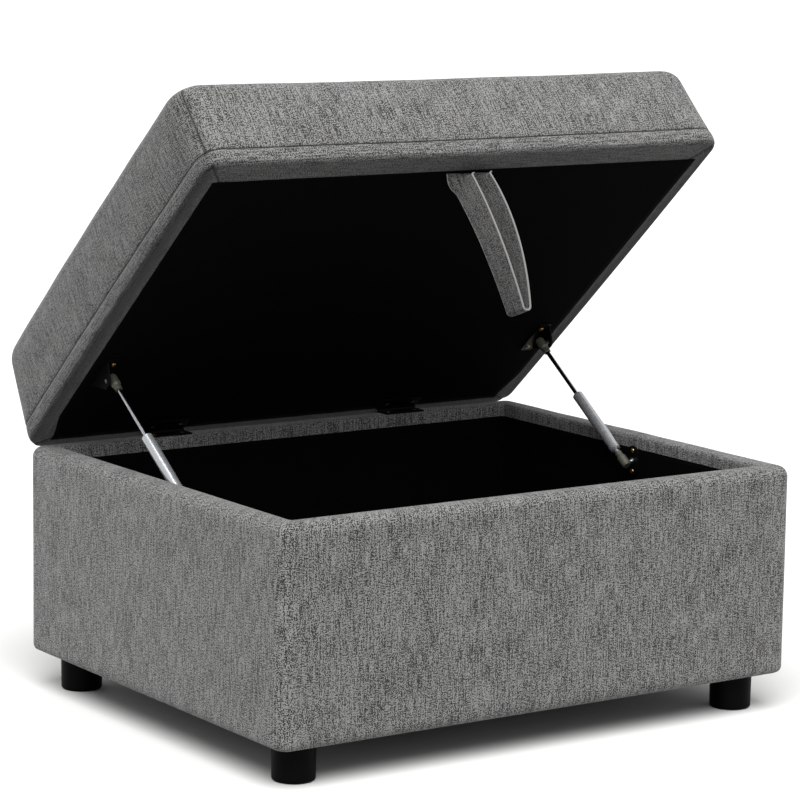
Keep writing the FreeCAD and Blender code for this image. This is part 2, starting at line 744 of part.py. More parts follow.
def make_hinge_leaf(label, side, frame, hinge_z, leaf_low, knuckles):
    """A leaf with its knuckles, bored for the pin. The leaf is notched where the other
    leaf's knuckles turn."""
    centre = "%d * hinge_offset" % side
    start = "(%s - hinge_width / 2)" % centre
    pitch = "hinge_width / 3"
    axis_y = "hinge_y" if frame == BASE else "0"
    edge = "(%s - knuckle_radius - leaf_relief)" % axis_y
    body = new_body(label)
    sketch = new_sketch(body, "XY_Plane", leaf_low)
    rectangle(sketch, start, start + " + hinge_width", "%s - leaf_depth" % axis_y, edge)
    pad(body, sketch, "leaf")
    dress(body, "Fillet", lambda box: upright(box) and box.YMin < number(edge) - 1, "leaf_corner")
    for turn in knuckles:
        low = "%s + %d * %s + knuckle_gap / 2" % (start, turn, pitch)
        sketch = new_sketch(body, "XY_Plane", leaf_low)
        rectangle(sketch, low, "%s + %s - knuckle_gap" % (low, pitch), edge + " - knuckle_lap",
                  axis_y)
        pad(body, sketch, "leaf")
        sketch = new_sketch(body, "YZ_Plane", low)
        circles(sketch, [(axis_y, hinge_z)], "knuckle_radius")
        pad(body, sketch, "%s - knuckle_gap" % pitch)
    sketch = new_sketch(body, "YZ_Plane", start)
    circles(sketch, [(axis_y, hinge_z)], "pin_radius + running_gap")
    pocket(body, sketch, "hinge_width", backwards=True)
    keep(body, label, frame)


def make_pin(label, side):
    """A plain steel pin, as long as the hinge is wide."""
    body = new_body(label)
    sketch = new_sketch(body, "YZ_Plane", "%d * hinge_offset - hinge_width / 2" % side)
    circles(sketch, [("hinge_y", "hinge_z")], "pin_radius")
    pad(body, sketch, "hinge_width")
    keep(body, label, BASE)


def make_hinges():
    for side, name in SIDE_NAMES.items():
        make_hinge_leaf("hinge_base_leaf_" + name, side, BASE, "hinge_z",
                        "(hinge_z - leaf_drop)", (0, 2))
        make_hinge_leaf("hinge_lid_leaf_" + name, side, LID, "0",
                        "(hinge_drop - lid_dust_cover - leaf)", (1,))
        make_pin("hinge_pin_" + name, side)


# Gas struts

def make_lid_bracket(side, name):
    """An angle bracket: a foot screwed to the lid and a rounded cheek for the ball stud."""
    under = "(hinge_drop - lid_dust_cover)"
    cheek = "%d * (strut_x + bracket_flange_out)" % side
    body = new_body("LidBracket" + name)
    edges = sorted(["%d * (strut_x - bracket_foot_in)" % side,
                    "%d * (strut_x + bracket_flange_out + bracket)" % side], key=number)
    front = "(-lid_ball_reach - bracket_foot_front)"
    back = "(-lid_ball_reach + bracket_foot_back)"
    sketch = new_sketch(body, "XY_Plane", under)
    rectangle(sketch, edges[0], edges[1], front, back)
    pad(body, sketch, "bracket", backwards=True)
    dress(body, "Fillet", upright, "bracket_corner")
    low = "(-lid_ball_drop - bracket_tip)"
    sketch = new_sketch(body, "YZ_Plane", cheek)
    outline(sketch, [(front + " + bracket_corner", under), ("-lid_ball_reach - bracket_tip", low),
                     ("-lid_ball_reach + bracket_tip", low), (back + " - bracket_corner", under)])
    pad(body, sketch, "bracket", backwards=side == LEFT)
    bottom = number(low)
    dress(body, "Fillet", lambda box: same(box.ZMin, bottom) and same(box.ZMax, bottom)
          and box.YLength < 0.01, "bracket_tip_corner")
    sketch = new_sketch(body, "YZ_Plane", cheek)
    circles(sketch, [("-lid_ball_reach", "-lid_ball_drop")], "stud_radius + running_gap")
    pocket(body, sketch, "bracket", backwards=side == RIGHT)
    keep(body, "lid_bracket_" + name, LID)


def make_ball_stud(label, side, frame, centre, reach, through):
    """A ball on a neck that points outboard to a flange, and a shank through the cheek.
    The reach is from the ball's middle to the face that the flange seats on."""
    body = new_body("Stud" + label)
    sketch = new_sketch(body, "XY_Plane")
    turn = 180 if side == LEFT else 0
    sketch.AttachmentOffset = FreeCAD.Placement(V(), FreeCAD.Rotation(V(0, 0, 1), turn))
    for axis, value in zip("xyz", centre):
        sketch.setExpression(".AttachmentOffset.Base." + axis, formula(value))
    seat = "(%s)" % reach
    profile = [("-ball_radius", "0", "-ball_bulge"), ("ball_neck_start", "ball_neck"),
               ("%s - stud_flange" % seat, "ball_neck"),
               ("%s - stud_flange" % seat, "stud_flange_radius"), (seat, "stud_flange_radius")]
    if through:
        profile += [(seat, "stud_radius"), ("%s + %s" % (seat, through), "stud_radius")]
    profile += [(profile[-1][0], "0")]
    outline(sketch, profile)
    revolve(body, sketch, "H_Axis")
    keep(body, label, frame)


def make_socket(label, side, frame, origin, direction):
    """A moulded ball socket: a head round the ball, open to the stud, and a bored neck."""
    body = new_body("Socket" + label)
    sketch = new_sketch(body, "YZ_Plane")
    seat = "(ball_radius + running_gap)"
    profile = [("0", "-socket_back"), ("socket_neck_radius", "-socket_back"),
               ("socket_radius", "-socket_back + socket_edge"), ("socket_radius", "socket_back"),
               ("socket_neck_radius", "socket_back + socket_shoulder"),
               ("socket_neck_radius", "socket_neck"),
               ("rod_radius + running_gap", "socket_neck"),
               ("rod_radius + running_gap", "socket_neck - rod_in_socket"),
               ("0", "socket_neck - rod_in_socket"), ("0", seat), ("0", "-" + seat)]
    points = [(x, "%s + %d * (%s)" % (origin, direction, z)) for x, z in profile]
    points[-2] += ("%d * %s" % (-direction, seat), "0")
    outline(sketch, points)
    revolve(body, sketch)
    sketch = new_sketch(body, "YZ_Plane")
    circles(sketch, [("0", origin)], "socket_mouth_radius")
    pocket(body, sketch, "socket_radius", backwards=side == RIGHT)
    keep(body, label, frame)


def ring(label, frame, low, high, inner, outer):
    """A plain ring round the strut's own axis."""
    body = new_body("Ring" + label)
    sketch = new_sketch(body, "XZ_Plane")
    rectangle(sketch, inner, outer, low, high)
    revolve(body, sketch)
    keep(body, label, frame)


def make_strut(side, name):
    """A gas strut along its own Z axis, from the ball on the lid to the ball on the box."""
    frame = ("strut", side)
    tube_low = "(socket_neck + rod_shown)"
    tube_high = "(socket_neck + rod_shown + tube_length)"
    piston_low = "(%s + tube_wall + gland + piston_gap)" % tube_low
    make_socket("rod_end_socket_" + name, side, frame, "0", 1)
    rod = new_body("Rod" + name)
    sketch = new_sketch(rod, "XY_Plane", "socket_neck - rod_in_socket")
    circles(sketch, [("0", "0")], "rod_radius")
    pad(rod, sketch, "%s + piston + rod_end - socket_neck + rod_in_socket" % piston_low)
    keep(rod, "strut_rod_" + name, frame)
    ring("strut_piston_" + name, frame, piston_low, "%s + piston" % piston_low,
         "rod_radius + running_gap", "tube_radius - tube_wall - running_gap")
    ring("strut_gland_" + name, frame, "%s + tube_wall" % tube_low,
         "%s + tube_wall + gland" % tube_low,
         "rod_radius + running_gap", "tube_radius - tube_wall - running_gap")

    tube = new_body("Tube" + name)
    sketch = new_sketch(tube, "XZ_Plane")
    inside = "tube_radius - tube_wall"
    mouth = "rod_radius + tube_mouth_gap"
    stud_end = "strut_length - socket_neck + rod_in_socket"
    outline(sketch, [(mouth, tube_low), ("tube_radius - tube_lip", tube_low),
                     ("tube_radius", tube_low + " + tube_lip"),
                     ("tube_radius", tube_high + " - tube_shoulder"),
                     ("tube_radius - tube_shoulder", tube_high), ("rod_radius", tube_high),
                     ("rod_radius", stud_end), ("0", stud_end),
                     ("0", "%s - tube_bottom" % tube_high),
                     (inside, "%s - tube_bottom" % tube_high),
                     (inside, "%s + tube_wall" % tube_low), (mouth, "%s + tube_wall" % tube_low)])
    revolve(tube, sketch)
    keep(tube, "strut_tube_" + name, frame)
    make_socket("tube_end_socket_" + name, side, frame, "strut_length", -1)


def make_base_bracket(side, name):
    """An oval plate screwed to the inside of the box, where the base ball stud stands."""
    body = new_body("BaseBracket" + name)
    sketch = new_sketch(body, "YZ_Plane", "%d * lining_x" % side)
    rectangle(sketch, "base_ball_y - plate_half_width", "base_ball_y + plate_half_width",
              "base_ball_z - plate_half_height", "base_ball_z + plate_half_height")
    pad(body, sketch, "bracket", backwards=side == RIGHT)
    dress(body, "Fillet", lambda box: box.YLength < 1e-3 and box.ZLength < 1e-3, "plate_corner")
    keep(body, "base_bracket_" + name, BASE)


def make_struts():
    seat_gap = "(strut_inboard - bracket - stud_air)"
    for side, name in SIDE_NAMES.items():
        make_lid_bracket(side, name)
        make_ball_stud("lid_ball_stud_" + name, side, LID,
                       ("%d * strut_x" % side, "-lid_ball_reach", "-lid_ball_drop"),
                       "bracket_flange_out", "bracket")
        make_strut(side, name)
        make_ball_stud("base_ball_stud_" + name, side, ("strut", side),
                       ("0", "0", "strut_length"), seat_gap, None)
        make_base_bracket(side, name)


# The whole ottoman

make_covers()
make_padding()
make_panels()
make_floor()
LEG_NAMES = ("front_left", "back_left", "front_right", "back_right")
for leg_spot, leg_name in zip(leg_spots(), LEG_NAMES):
    make_leg("leg_" + leg_name, leg_spot)
make_leg_fixings()
make_lid()
make_pull_loop()
make_hinges()
make_struts()
doc.recompute()

for item in doc.Objects:
    if "Invalid" in item.State or "Error" in item.State:
        raise RuntimeError("%s (%s) failed" % (item.Name, item.Label))
for piece in parts:
    if piece.Shape.isNull() or not piece.Shape.isValid() or not piece.Shape.Solids:
        raise RuntimeError("%s has no valid solid" % piece.Label)

os.makedirs("parts", exist_ok=True)
for piece in parts:
    piece.Shape.exportStep("parts/%s.step" % piece.Label)
print("%d sub-parts, lid opens %.2f degrees" % (len(parts), SIZES["open_angle"]))
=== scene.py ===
# %% [markdown]
# # A storage ottoman with its lid held open
#
# The piece is a covered box on four short legs. Its thick lid is hinged along the back and
# two gas struts hold it open, so the camera sees the black inside, the underside of the lid
# and a loop of the same cloth to pull it up by.
#
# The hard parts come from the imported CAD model, which stays where it is. Everything that is
# sewn or stretched is made here: first the shapes as surfaces on a grid, then a short cloth
# simulation that pads them, then the finishes.

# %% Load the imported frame
import json
import math

import bpy
import numpy as np
from mathutils import Matrix, Vector


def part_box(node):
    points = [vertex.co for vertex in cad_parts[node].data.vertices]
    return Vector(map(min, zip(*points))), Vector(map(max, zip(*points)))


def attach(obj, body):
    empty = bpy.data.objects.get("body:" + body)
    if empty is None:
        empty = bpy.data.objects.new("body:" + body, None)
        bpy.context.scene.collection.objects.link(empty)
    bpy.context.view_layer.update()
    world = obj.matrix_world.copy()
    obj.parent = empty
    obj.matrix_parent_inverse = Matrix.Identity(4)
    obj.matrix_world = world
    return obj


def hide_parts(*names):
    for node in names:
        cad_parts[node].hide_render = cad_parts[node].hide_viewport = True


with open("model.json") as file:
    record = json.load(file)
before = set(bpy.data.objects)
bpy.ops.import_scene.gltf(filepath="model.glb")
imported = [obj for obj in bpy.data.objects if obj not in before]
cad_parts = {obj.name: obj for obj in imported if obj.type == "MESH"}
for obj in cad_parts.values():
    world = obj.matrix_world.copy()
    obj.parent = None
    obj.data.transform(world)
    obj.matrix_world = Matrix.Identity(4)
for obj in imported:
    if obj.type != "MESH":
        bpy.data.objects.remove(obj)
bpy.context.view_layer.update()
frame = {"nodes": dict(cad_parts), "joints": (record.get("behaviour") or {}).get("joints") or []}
nodes = frame["nodes"]

# %% [markdown]
# ## Measures
#
# Sewing is easiest to think about in millimetres, and the scene is in metres, so every
# shape below is worked out in millimetres and multiplied by MM at the end. The box stands
# upright in the frame. The lid is drawn closed, with its hinge line as the origin, and then
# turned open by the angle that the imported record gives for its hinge.

# %% Places taken from the frame
MM = 0.001
box_low, box_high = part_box("base_cover_front")[0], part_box("base_cover_right")[1]
HALF_X = box_high.x / MM
FRONT, BACK = box_low.y / MM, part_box("base_cover_back")[1].y / MM
UNDER, RIM = box_low.z / MM, box_high.z / MM

hinge = next(joint for joint in frame["joints"] if joint["name"] == "lid_hinge")
OPEN = math.radians(max(abs(limit) for limit in hinge["range_deg"]))


def open_lid(points):
    """Millimetres on the closed lid to metres in the frame: a turn about the hinge line,
    y' = y cos a + z sin a and z' = z cos a - y sin a, then a shift to the hinge."""
    x, y, z = np.moveaxis(np.asarray(points, float) * MM, -1, 0)
    turned = np.stack([x, y * math.cos(OPEN) + z * math.sin(OPEN),
                       z * math.cos(OPEN) - y * math.sin(OPEN)], axis=-1)
    return turned + [0, hinge["pos_m"][1], hinge["pos_m"][2]]


def upright(points):
    """Millimetres in the frame to metres."""
    return np.asarray(points, float) * MM


print("box half width", round(HALF_X, 1), "front", round(FRONT, 1), "back", round(BACK, 1),
      "rim", round(RIM, 1), "lid open", round(math.degrees(OPEN), 2))

# %% [markdown]
# ## The camera
#
# A product photograph like this one is taken from some metres away with a long lens, so the
# edges hardly converge. The camera is placed by its direction: how far it has walked round
# the piece, how high it looks from, and how much it leans.

# %% Camera
CAMERA_SPOT = (-2.493711, hinge["pos_m"][1] - 3.929231, 1.120513)
CAMERA_TURN, CAMERA_RISE, CAMERA_LEAN = (math.radians(a) for a in (-34.449, 9.250, 0.851))
SENSOR_WIDTH, LENS_LENGTH = 36, 150.54

forward = Vector((-math.sin(CAMERA_TURN) * math.cos(CAMERA_RISE),
                  math.cos(CAMERA_TURN) * math.cos(CAMERA_RISE), -math.sin(CAMERA_RISE)))
level = forward.cross(Vector((0, 0, 1))).normalized()
above = level.cross(forward)
side_axis = level * math.cos(CAMERA_LEAN) + above * math.sin(CAMERA_LEAN)
up_axis = above * math.cos(CAMERA_LEAN) - level * math.sin(CAMERA_LEAN)

camera = bpy.data.objects.new("camera", bpy.data.cameras.new("camera"))
camera.data.sensor_width = SENSOR_WIDTH
camera.data.lens = LENS_LENGTH
camera.data.clip_end = 200
camera.matrix_world = Matrix.LocRotScale(
    Vector(CAMERA_SPOT), Matrix((side_axis, up_axis, -forward)).transposed(), None)
bpy.context.scene.collection.objects.link(camera)
bpy.context.scene.camera = camera
print("camera", [round(v, 3) for v in CAMERA_SPOT])

# %% [markdown]
# ## From a grid of points to a mesh
#
# Every new surface is a function of two parameters: i runs round or along the piece and j
# runs across it. Whole arrays are worked out at once, and neighbouring points become
# four-sided faces. A cloth pattern needs to know how far it is along the cloth, so each
# surface also carries a UV map in metres, which is the cloth laid flat.

# %% Grid helpers
def smooth(value):
    """3x^2 - 2x^3, which starts and ends level."""
    value = np.clip(value, 0, 1)
    return value * value * (3 - 2 * value)


def make_object(name, vertices, faces, uv=None, marks=None):
    """A mesh object from vertices (n, 3) and faces (m, 4), with a UV for each face corner
    (m, 4, 2) and a number for each vertex in a named attribute."""
    mesh = bpy.data.meshes.new(name)
    mesh.from_pydata(np.asarray(vertices, float).tolist(), [], np.asarray(faces).tolist())
    if uv is not None:
        mesh.uv_layers.new(name="cloth").data.foreach_set(
            "uv", np.asarray(uv, np.float32).ravel())
    for label, values in (marks or {}).items():
        mesh.attributes.new(label, "FLOAT", "POINT").data.foreach_set(
            "value", np.asarray(values, np.float32).ravel())
    mesh.shade_smooth()
    made = bpy.data.objects.new(name, mesh)
    bpy.context.scene.collection.objects.link(made)
    return made


def quads(index):
    """Faces (i,j), (i+1,j), (i+1,j+1), (i,j+1) of a grid of vertex numbers."""
    return np.stack([index[:-1, :-1], index[1:, :-1], index[1:, 1:], index[:-1, 1:]],
                    axis=-1).reshape(-1, 4)


def corner_uv(u, v):
    """The same four corners of the grids u and v, as UV pairs."""
    pairs = np.stack([u, v], axis=-1)
    return np.stack([pairs[:-1, :-1], pairs[1:, :-1], pairs[1:, 1:], pairs[:-1, 1:]],
                    axis=2).reshape(-1, 4, 2)


def distance_along(points):
    """Running length along the first axis of an array of points."""
    steps = np.linalg.norm(np.diff(points, axis=0), axis=-1)
    return np.concatenate([np.zeros_like(steps[:1]), np.cumsum(steps, axis=0)])


# %% [markdown]
# ## A path round a box with rounded corners
#
# Both covers are carried round a rectangle whose corners are arcs. Each of the four sides
# runs from the middle of one corner to the middle of the next, so that every ring of points
# has the same number of columns per side and rings of different size line up. Columns are
# closer together near the corners, where the cloth turns.

# %% Rounded rings
ALONG, ACROSS = 132, 104
CROWDING = 0.45


def side_of_ring(length, corners, bulge, count):
    """One side, seen with outwards up: a half arc, a straight and a half arc of the next
    corner. The side bulges by b (1 - (2x/L)^2). Gives x along, y out and the normal's turn."""
    first, last = corners
    t = np.arange(count) / count
    t = t - CROWDING * np.sin(2 * np.pi * t) / (2 * np.pi)
    arc_end = np.pi * first / 4
    straight_end = arc_end + length - first - last
    s = t * (straight_end + np.pi * last / 4)
    turn = np.where(s < arc_end, np.pi / 4 - s / first,
                    np.where(s > straight_end, -(s - straight_end) / last, 0))
    x = np.where(s < arc_end, first - first * np.sin(turn),
                 np.where(s > straight_end, length - last - last * np.sin(turn),
                          s - arc_end + first)) - length / 2
    y = np.where(turn > 0, first, last) * (np.cos(turn) - 1) + bulge * (1 - (2 * x / length) ** 2)
    return x, y, turn


def ring(half_x, front, back, corner, back_corner=None, bulges=(0, 0, 0, 0)):
    """Points (n, 2) and outward normals (n, 2) counted front, right, back, left, each side
    turned into its place: outwards is -Y, +X, +Y and -X in turn. The corners at the back
    may have a radius of their own."""
    rear = back_corner or corner
    corners = ((corner, corner), (corner, rear), (rear, rear), (rear, corner))
    middle_y = (front + back) / 2
    depth = back - front
    points, normals = [], []
    for turned, (length, count, reach, pair, bulge) in enumerate(zip(
            (2 * half_x, depth, 2 * half_x, depth), (ALONG, ACROSS, ALONG, ACROSS),
            (depth / 2, half_x, depth / 2, half_x), corners, bulges)):
        x, y, turn = side_of_ring(length, pair, bulge, count)
        angle = turned * np.pi / 2
        along = np.array([math.cos(angle), math.sin(angle)])
        outward = np.array([math.sin(angle), -math.cos(angle)])
        points.append(np.outer(x, along) + np.outer(y + reach, outward) + [0, middle_y])
        normals.append(np.outer(-np.sin(turn), along) + np.outer(np.cos(turn), outward))
    return np.concatenate(points), np.concatenate(normals)


COLUMNS = 2 * (ALONG + ACROSS)
CORNER_COLUMNS = (0, ALONG, ALONG + ACROSS, 2 * ALONG + ACROSS)
print("each ring has", COLUMNS, "columns")

# %% [markdown]
# ## Padding cloth with a short simulation
#
# Foam pushes a tight cover outwards everywhere except where it is sewn or stapled. A cloth
# simulation does that with an inner pressure and no gravity, while a vertex group pins the
# seams and hems. The grids are fine enough already, so they go into it as they are and keep
# their UV maps. The cloth would go on swelling like a balloon, so the distance that each
# point moves is eased towards a limit: limit times tanh(distance / limit). The foam and the
# boards are behind it, so no point may end up further in than it began.

# %% Cloth simulation
def pad_with_cloth(cover, pins, pressure, limit, frames=20):
    """Runs the cloth and writes the padded shape back into the cover's own mesh."""
    group = cover.vertex_groups.new(name="pins")
    for weight in np.unique(np.round(pins[pins > 0.05], 1)):
        held = np.flatnonzero(np.isclose(np.round(pins, 1), weight))
        group.add(held.tolist(), float(weight), "REPLACE")
    cloth = cover.modifiers.new("cloth", "CLOTH")
    cloth.settings.quality = 4
    cloth.settings.mass = 0.2
    cloth.settings.tension_stiffness = 25
    cloth.settings.compression_stiffness = 25
    cloth.settings.bending_stiffness = 2
    cloth.settings.use_pressure = True
    cloth.settings.uniform_pressure_force = pressure
    cloth.settings.effector_weights.gravity = 0
    cloth.settings.vertex_group_mass = "pins"
    cloth.point_cache.frame_start, cloth.point_cache.frame_end = 1, frames
    for step in range(1, frames + 1):
        bpy.context.scene.frame_set(step)
    count = len(cover.data.vertices)
    before, after, normals = np.zeros(count * 3), np.zeros(count * 3), np.zeros(count * 3)
    cover.data.vertices.foreach_get("co", before)
    cover.data.vertex_normals.foreach_get("vector", normals)
    evaluated = cover.evaluated_get(bpy.context.evaluated_depsgraph_get())
    evaluated.data.vertices.foreach_get("co", after)
    cover.modifiers.remove(cloth)
    cover.vertex_groups.clear()
    bpy.context.scene.frame_set(1)
    moved = (after - before).reshape(-1, 3)
    length = np.linalg.norm(moved, axis=1, keepdims=True)
    eased = moved * (limit * np.tanh(length / limit) / np.maximum(length, 1e-9))
    normals = normals.reshape(-1, 3)
    eased -= normals * np.minimum(np.sum(eased * normals, axis=1, keepdims=True), 0)
    cover.data.vertices.foreach_set("co", (before.reshape(-1, 3) + eased).ravel())
    cover.data.update()
    print(cover.name, "moved up to", round(float(length.max()) * 1000, 1), "mm, eased to",
          round(float(np.linalg.norm(eased, axis=1).max()) * 1000, 1), "mm")


def press_in(cover, marks, depth):
    """Pulls a seam into the padding: each vertex goes in along its normal by its mark
    times the depth in millimetres."""
    mesh = cover.data
    count = len(mesh.vertices)
    spots, normals = np.zeros(count * 3), np.zeros(count * 3)
    mesh.vertices.foreach_get("co", spots)
    mesh.vertex_normals.foreach_get("vector", normals)
    marks = np.asarray(marks, float).reshape(-1, 1)
    spots = spots.reshape(-1, 3) - normals.reshape(-1, 3) * marks * depth * MM
    mesh.vertices.foreach_set("co", spots.ravel())
    mesh.update()


def unevenness(points, size):
    """The mean of three slow sine waves that cross, -1 to 1, with a wavelength of about
    the given size in millimetres."""
    x, y, z = np.moveaxis(np.asarray(points, float) / MM * 2 * np.pi / size, -1, 0)
    return (np.sin(0.9 * x + 0.4 * y + 0.7 * z + 0.5) + np.sin(1.3 * y - 0.6 * z + 1.9)
            + np.sin(0.8 * z - 0.5 * x + 1.1 * y + 3.7)) / 3


# %% [markdown]
# ## The cover of the box
#
# One cloth goes from under the box up its outer face, over a softly padded rim and a short
# way down inside, where the black lining begins. Its profile, in millimetres inwards from
# the outer face and upwards, is carried round the rounded rectangle.

# %% Profile and surface of the box cover
def arc(centre, radius, start, end, count, tall=1.0):
    """Points on a quarter turn or less, angles in degrees from the inward direction. The
    height is stretched by tall, which makes the arc part of an ellipse."""
    angle = np.radians(np.linspace(start, end, count))
    return np.stack([centre[0] + radius * np.cos(angle),
                     centre[1] + radius * tall * np.sin(angle)], axis=1)


def line(start, end, count):
    """Evenly spaced points, without the first."""
    return np.linspace(start, end, count + 1)[1:]


WALL, RIM_ROUND, INNER_ROUND, FOOT_ROUND, HEM = 34.0, 14.0, 5.0, 9.5, 18.0
BOX_CORNER = 20.0
box_profile = np.concatenate([
    [(WALL, UNDER)], line((WALL, UNDER), (FOOT_ROUND, UNDER), 4),
    arc((FOOT_ROUND, UNDER + FOOT_ROUND), FOOT_ROUND, -90, -180, 6)[1:],
    line((0, UNDER + FOOT_ROUND), (0, RIM - RIM_ROUND), 46),
    arc((RIM_ROUND, RIM - RIM_ROUND), RIM_ROUND, 180, 90, 9)[1:],
    line((RIM_ROUND, RIM), (WALL - INNER_ROUND, RIM), 3),
    arc((WALL - INNER_ROUND, RIM - INNER_ROUND), INNER_ROUND, 90, 0, 4)[1:],
    line((WALL, RIM - INNER_ROUND), (WALL, RIM - HEM), 3)])
box_rings = [ring(HALF_X - inset, FRONT + inset, BACK - inset, max(BOX_CORNER - inset, 5.0))[0]
             for inset, height in box_profile]
box_heights = np.repeat(box_profile[:, 1][None], COLUMNS, axis=0)
box_points = np.concatenate([np.stack(box_rings, axis=1), box_heights[..., None]], axis=2)
box_index = np.arange(box_points[..., 0].size).reshape(box_points.shape[:2])
box_index = np.concatenate([box_index, box_index[:1]])

# A cover's length is measured along one row of its sides.
MEASURED_ROW = 20
cloth_down = distance_along(box_profile) * MM
cloth_round = distance_along(np.concatenate(
    [box_points[:, MEASURED_ROW], box_points[:1, MEASURED_ROW]])) * MM
box_cover = make_object(
    "box_cover", upright(box_points).reshape(-1, 3), quads(box_index),
    corner_uv(*np.meshgrid(cloth_round, cloth_down, indexing="ij")))
PINNED_ROWS = 7
row = np.repeat(np.arange(len(box_profile))[None], COLUMNS, axis=0).ravel()
box_pins = np.where((row < PINNED_ROWS) | (row >= len(box_profile) - PINNED_ROWS), 1.0, 0.0)
print("box cover:", len(box_cover.data.polygons), "faces, profile",
      round(float(cloth_down[-1]), 3), "m of cloth")

# %% [markdown]
# The box is covered tightly over thin padding, so it swells by under 2 mm. Slow waves then
# lift the cloth by up to 0.7 mm, because cloth pulled by hand is never quite flat.

# %% Pad the box cover
pad_with_cloth(box_cover, box_pins, pressure=3, limit=1.6 * MM)
spots = np.zeros(len(box_cover.data.vertices) * 3)
box_cover.data.vertices.foreach_get("co", spots)
waves = unevenness(spots.reshape(-1, 3), size=150)
press_in(box_cover, (waves - 1) * (box_pins < 0.5), depth=0.35)
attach(box_cover, "base")
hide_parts("base_cover_front", "base_cover_back", "base_cover_left",
            "base_cover_right", "base_padding")

# %% [markdown]
# ## The lid
#
# The lid is a thick foam pad on a board. A boxing strip runs round its sides between a top
# panel and a narrow lower band, and the band turns under the board, where its edge is
# stapled. The seams are rows and columns of the same grid: more rows lie close to a seam, so
# that it can be pressed in sharply after the padding. The top panel is a patch stretched
# between the four sides of its outline, each point the blend of the opposite sides.

# %% Profile of the lid's sides
LID_HALF, LID_FRONT, LID_BACK = 403.0, -625.0, 15.0
LID_UNDER, LID_TOP = 2.6, 132.6
FRONT_CORNER, BACK_CORNER, CORNER_GROWTH, TOP_ROUND = 24.0, 28.0, 18.0, 22.0
UNDER_ROUND, UNDER_TALL, BACK_UNDER_ROUND = 7.0, 2.0, 3.5
SEAM, CROWN, CROWN_POWER, BACK_LEAN = 24.6, 4.0, 2.5, 0.19
LID_BULGES = (-3.0, 3.0, 0.0, 3.0)

# Rows of the grid crowd round the seam at these heights above and below it.
SEAM_STEPS = np.array([-7.0, -4.5, -2.6, -1.3, 0, 1.3, 2.6, 4.5, 8.0])
ROLL_ROWS = 8
top_arc = arc((TOP_ROUND, LID_TOP - TOP_ROUND), TOP_ROUND, 180, 90, 16)
lid_profile = np.concatenate([
    arc((UNDER_ROUND, LID_UNDER + UNDER_ROUND * UNDER_TALL), UNDER_ROUND, -90, -180,
        ROLL_ROWS, UNDER_TALL),
    np.stack([0 * SEAM_STEPS, SEAM + SEAM_STEPS], 1),
    line((0, SEAM + SEAM_STEPS[-1]), (0, LID_TOP - TOP_ROUND), 13), top_arc[1:]])


def back_edge(inset, height):
    """The back face leans forward with the height, and rolls under more tightly than the
    other sides do."""
    low = height < LID_UNDER + UNDER_ROUND * UNDER_TALL
    low_roll = BACK_UNDER_ROUND / UNDER_ROUND if low else 1.0
    return LID_BACK - BACK_LEAN * (height - LID_UNDER) - inset * low_roll


lid_rings = np.stack([ring(LID_HALF - inset, LID_FRONT + inset, back_edge(inset, height),
                           *[max(corner + CORNER_GROWTH * height / LID_TOP - inset, 5.0)
                             for corner in (FRONT_CORNER, BACK_CORNER)], LID_BULGES)[0]
                      for inset, height in lid_profile], axis=1)
print("lid profile:", len(lid_profile), "rows")

# %% [markdown]
# Under the lid the cloth runs in straight steps from the roll inwards to a rectangular
# window. The top panel is (1 - t) front + t back + (1 - s) left + s right, less the same
# blend of the four corners, which would otherwise count twice. Its crown is added to the
# height: crown (1 - x^2.5) (1 - y^2.5), with x and y from 0 in the middle to 1 at the edge.

# %% Underside wrap, sides and top panel
WRAP_SIDE, WRAP_FRONT, WRAP_BACK = 38.0, 50.0, 24.0
window, _ = ring(LID_HALF - WRAP_SIDE, LID_FRONT + WRAP_FRONT, LID_BACK - WRAP_BACK, 2.0)
WRAP_ROWS = 7
share = np.linspace(0, 1, WRAP_ROWS, endpoint=False)
wrap_points = (window[:, None] * (1 - share)[None, :, None]
               + lid_rings[:, :1] * share[None, :, None])
flat_points = np.concatenate([wrap_points, lid_rings], axis=1)
lid_heights = np.concatenate([np.full(WRAP_ROWS, LID_UNDER), lid_profile[:, 1]])
lid_points = np.concatenate([flat_points, np.repeat(lid_heights[None, :, None], COLUMNS, 0)], 2)
rows = lid_points.shape[1]

edge = lid_points[:, -1]
front_side, right_side = edge[:ALONG + 1], edge[ALONG:ALONG + ACROSS + 1]
back_side = edge[ALONG + ACROSS:2 * ALONG + ACROSS + 1][::-1]
left_side = np.concatenate([edge[2 * ALONG + ACROSS:], edge[:1]])[::-1]
s = (distance_along(front_side) / distance_along(front_side)[-1])[:, None, None]
t = (distance_along(right_side) / distance_along(right_side)[-1])[None, :, None]
patch = ((1 - t) * front_side[:, None] + t * back_side[:, None]
         + (1 - s) * left_side[None] + s * right_side[None]
         - (1 - s) * (1 - t) * front_side[0] - s * (1 - t) * front_side[-1]
         - (1 - s) * t * back_side[0] - s * t * back_side[-1])
reach_x = np.clip(np.abs(patch[..., 0]) / (LID_HALF - TOP_ROUND), 0, 1)
top_back = back_edge(TOP_ROUND, LID_TOP)
reach_y = np.clip(np.abs(patch[..., 1] - (LID_FRONT + TOP_ROUND + top_back) / 2) * 2
                  / (top_back - LID_FRONT - TOP_ROUND), 0, 1)
patch[..., 2] += CROWN * (1 - reach_x ** CROWN_POWER) * (1 - reach_y ** CROWN_POWER)

# %% [markdown]
# The top panel shares the vertices of the last row of the sides, so the lid is one skin. The
# UV map lays each panel on another part of the cloth, and the lower band and the wrap are
# cut across it, with u and v changed over.

